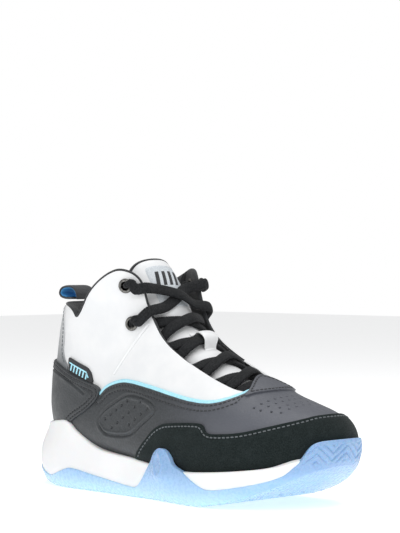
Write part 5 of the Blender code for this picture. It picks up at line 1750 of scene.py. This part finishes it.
FOOTBED_INSET = 4.9  # inside the form
FOOTBED_BASE, FOOTBED_TOP = 4.3, 7.8  # above the floor line
FOOTBED_CUP = 1.6


def make_sockliner():
    """The padded footbed, cupped at its rim."""
    level = lambda x: np.interp(x, *np.transpose(FLOOR_LINE))
    outline = np.vstack([[(x, z + FOOTBED_TOP) for x, z in FLOOR_LINE], [(107, 0), (-106, 0)]])
    moved = FORM.copy()
    moved[:, :3] -= FOOTBED_INSET * FORM[:, 3:6]
    low, faces, _ = keep_above(moved, FORM_TRIS, depth_inside(moved, outline))
    top = low.copy()
    centre = np.clip(1 - np.abs(low[:, 1]) / 30, 0, 1)
    dish = FOOTBED_CUP * ease(centre * 1.6)
    top[:, 2] = np.maximum(level(top[:, 0]) + FOOTBED_TOP - dish, low[:, 2] + 0.02)
    low[:, 2] = np.maximum(low[:, 2], level(low[:, 0]) + FOOTBED_BASE)
    top[:, 2] = np.maximum(top[:, 2], low[:, 2])
    points = np.vstack([low[:, :3], top[:, :3]])
    faces = closed_by(faces, len(low))
    made = make("sockliner_footbed", points, faces, "sockliner_cloth", SOCKLINER, ["sockliner"])


def refinish_hidden_nodes():
    """The CAD nodes that stay as they are get their material too."""
    for name, finish in (("shank_plate", "shank_tpu"), ("strobel_board", "former_board")):
        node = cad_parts[name]
        for slot in node.material_slots:
            slot.material = MATERIALS[finish]
        if not node.material_slots:
            node.data.materials.append(MATERIALS[finish])


# ---------------------------------------------------------------- stage

WORLD_LIGHT = 0.42
FLOOR_GLOW = 0.45
LIGHTS = (  # name, place, size, watts
    ("key", (0.75, -0.55, 0.9), 0.8, 4.8),
    ("top", (0.15, 0.15, 1.2), 1.2, 7.0),
    ("fill", (-0.1, -1.3, 0.4), 1.0, 3.5),
)
LIGHT_TARGET = (0, 0, 0.05)


def make_floor():
    mesh = bpy.data.meshes.new("studio_floor")
    corners = [(-3, -3, 0), (3, -3, 0), (3, 3, 0), (-3, 3, 0)]
    mesh.from_pydata(corners, [], [(0, 1, 2, 3)])
    floor = bpy.data.objects.new("studio_floor", mesh)
    bpy.context.scene.collection.objects.link(floor)
    pale = bpy.data.materials.new("pale_floor")
    pale.use_nodes = True
    shader = pale.node_tree.nodes["Principled BSDF"]
    shader.inputs["Base Color"].default_value = (0.93, 0.94, 0.95, 1)
    shader.inputs["Roughness"].default_value = 0.85
    shader.inputs["Emission Color"].default_value = (1, 1, 1, 1)
    shader.inputs["Emission Strength"].default_value = FLOOR_GLOW
    mesh.materials.append(pale)


def make_world():
    """White behind the shoe, and a softer light on it."""
    world = bpy.data.worlds.new("studio_world")
    world.use_nodes = True
    background = world.node_tree.nodes["Background"]
    background.inputs["Color"].default_value = (1, 1, 1, 1)
    rays = world.node_tree.nodes.new("ShaderNodeLightPath")
    lift = world.node_tree.nodes.new("ShaderNodeMapRange")
    lift.inputs["To Min"].default_value = WORLD_LIGHT
    lift.inputs["To Max"].default_value = 1.0
    world.node_tree.links.new(rays.outputs["Is Camera Ray"], lift.inputs["Value"])
    world.node_tree.links.new(lift.outputs[0], background.inputs["Strength"])
    bpy.context.scene.world = world


def make_lights():
    for name, place, size, watts in LIGHTS:
        data = bpy.data.lights.new(name, "AREA")
        data.size = size
        data.energy = watts
        lamp = bpy.data.objects.new(name, data)
        lamp.location = place
        aim(lamp, Vector(LIGHT_TARGET) - lamp.location)
        bpy.context.scene.collection.objects.link(lamp)


def aim(obj, ahead):
    obj.rotation_euler = Vector(ahead).to_track_quat("-Z", "Y").to_euler()


AZIMUTH, ELEVATION, DISTANCE = 45.0, 4.0, 1.2
CAMERA_CENTRE = (0, 0, 0.06)  # the point it circles round
AIM_RIGHT, AIM_UP = 0.0051, 0.0661  # how far from that point it looks, as slopes
SENSOR = 36
FOCAL = 1960 / 533  # focal length over the frame's long side


def make_camera():
    """Three quarters from the front, on the lateral side, a little above the ground, aimed above the shoe."""
    a, e = np.radians(AZIMUTH), np.radians(ELEVATION)
    back = np.array([np.sin(a) * np.cos(e), -np.cos(a) * np.cos(e), np.sin(e)])
    right = np.array([np.cos(a), np.sin(a), 0])
    up = np.cross(back, right)
    data = bpy.data.cameras.new("camera")
    data.sensor_width = SENSOR
    data.lens = SENSOR * FOCAL
    camera = bpy.data.objects.new("camera", data)
    camera.location = np.array(CAMERA_CENTRE) + back * DISTANCE
    aim(camera, -back + right * AIM_RIGHT + up * AIM_UP)
    bpy.context.scene.collection.objects.link(camera)
    bpy.context.scene.camera = camera


def main():
    make_camera()
    make_floor()
    make_world()
    make_lights()
    make_quarters()
    make_foxing()
    make_piping()
    make_mudguard()
    make_heel_panel()
    make_throat_tab()
    make_label()
    make_backstay()
    make_inner_layers()
    make_bindings()
    make_eyelets()
    make_tongue()
    make_lace()
    make_pull_tab()
    make_sole()
    make_sockliner()
    refinish_hidden_nodes()
    bpy.context.scene.view_settings.view_transform = "Standard"


main()
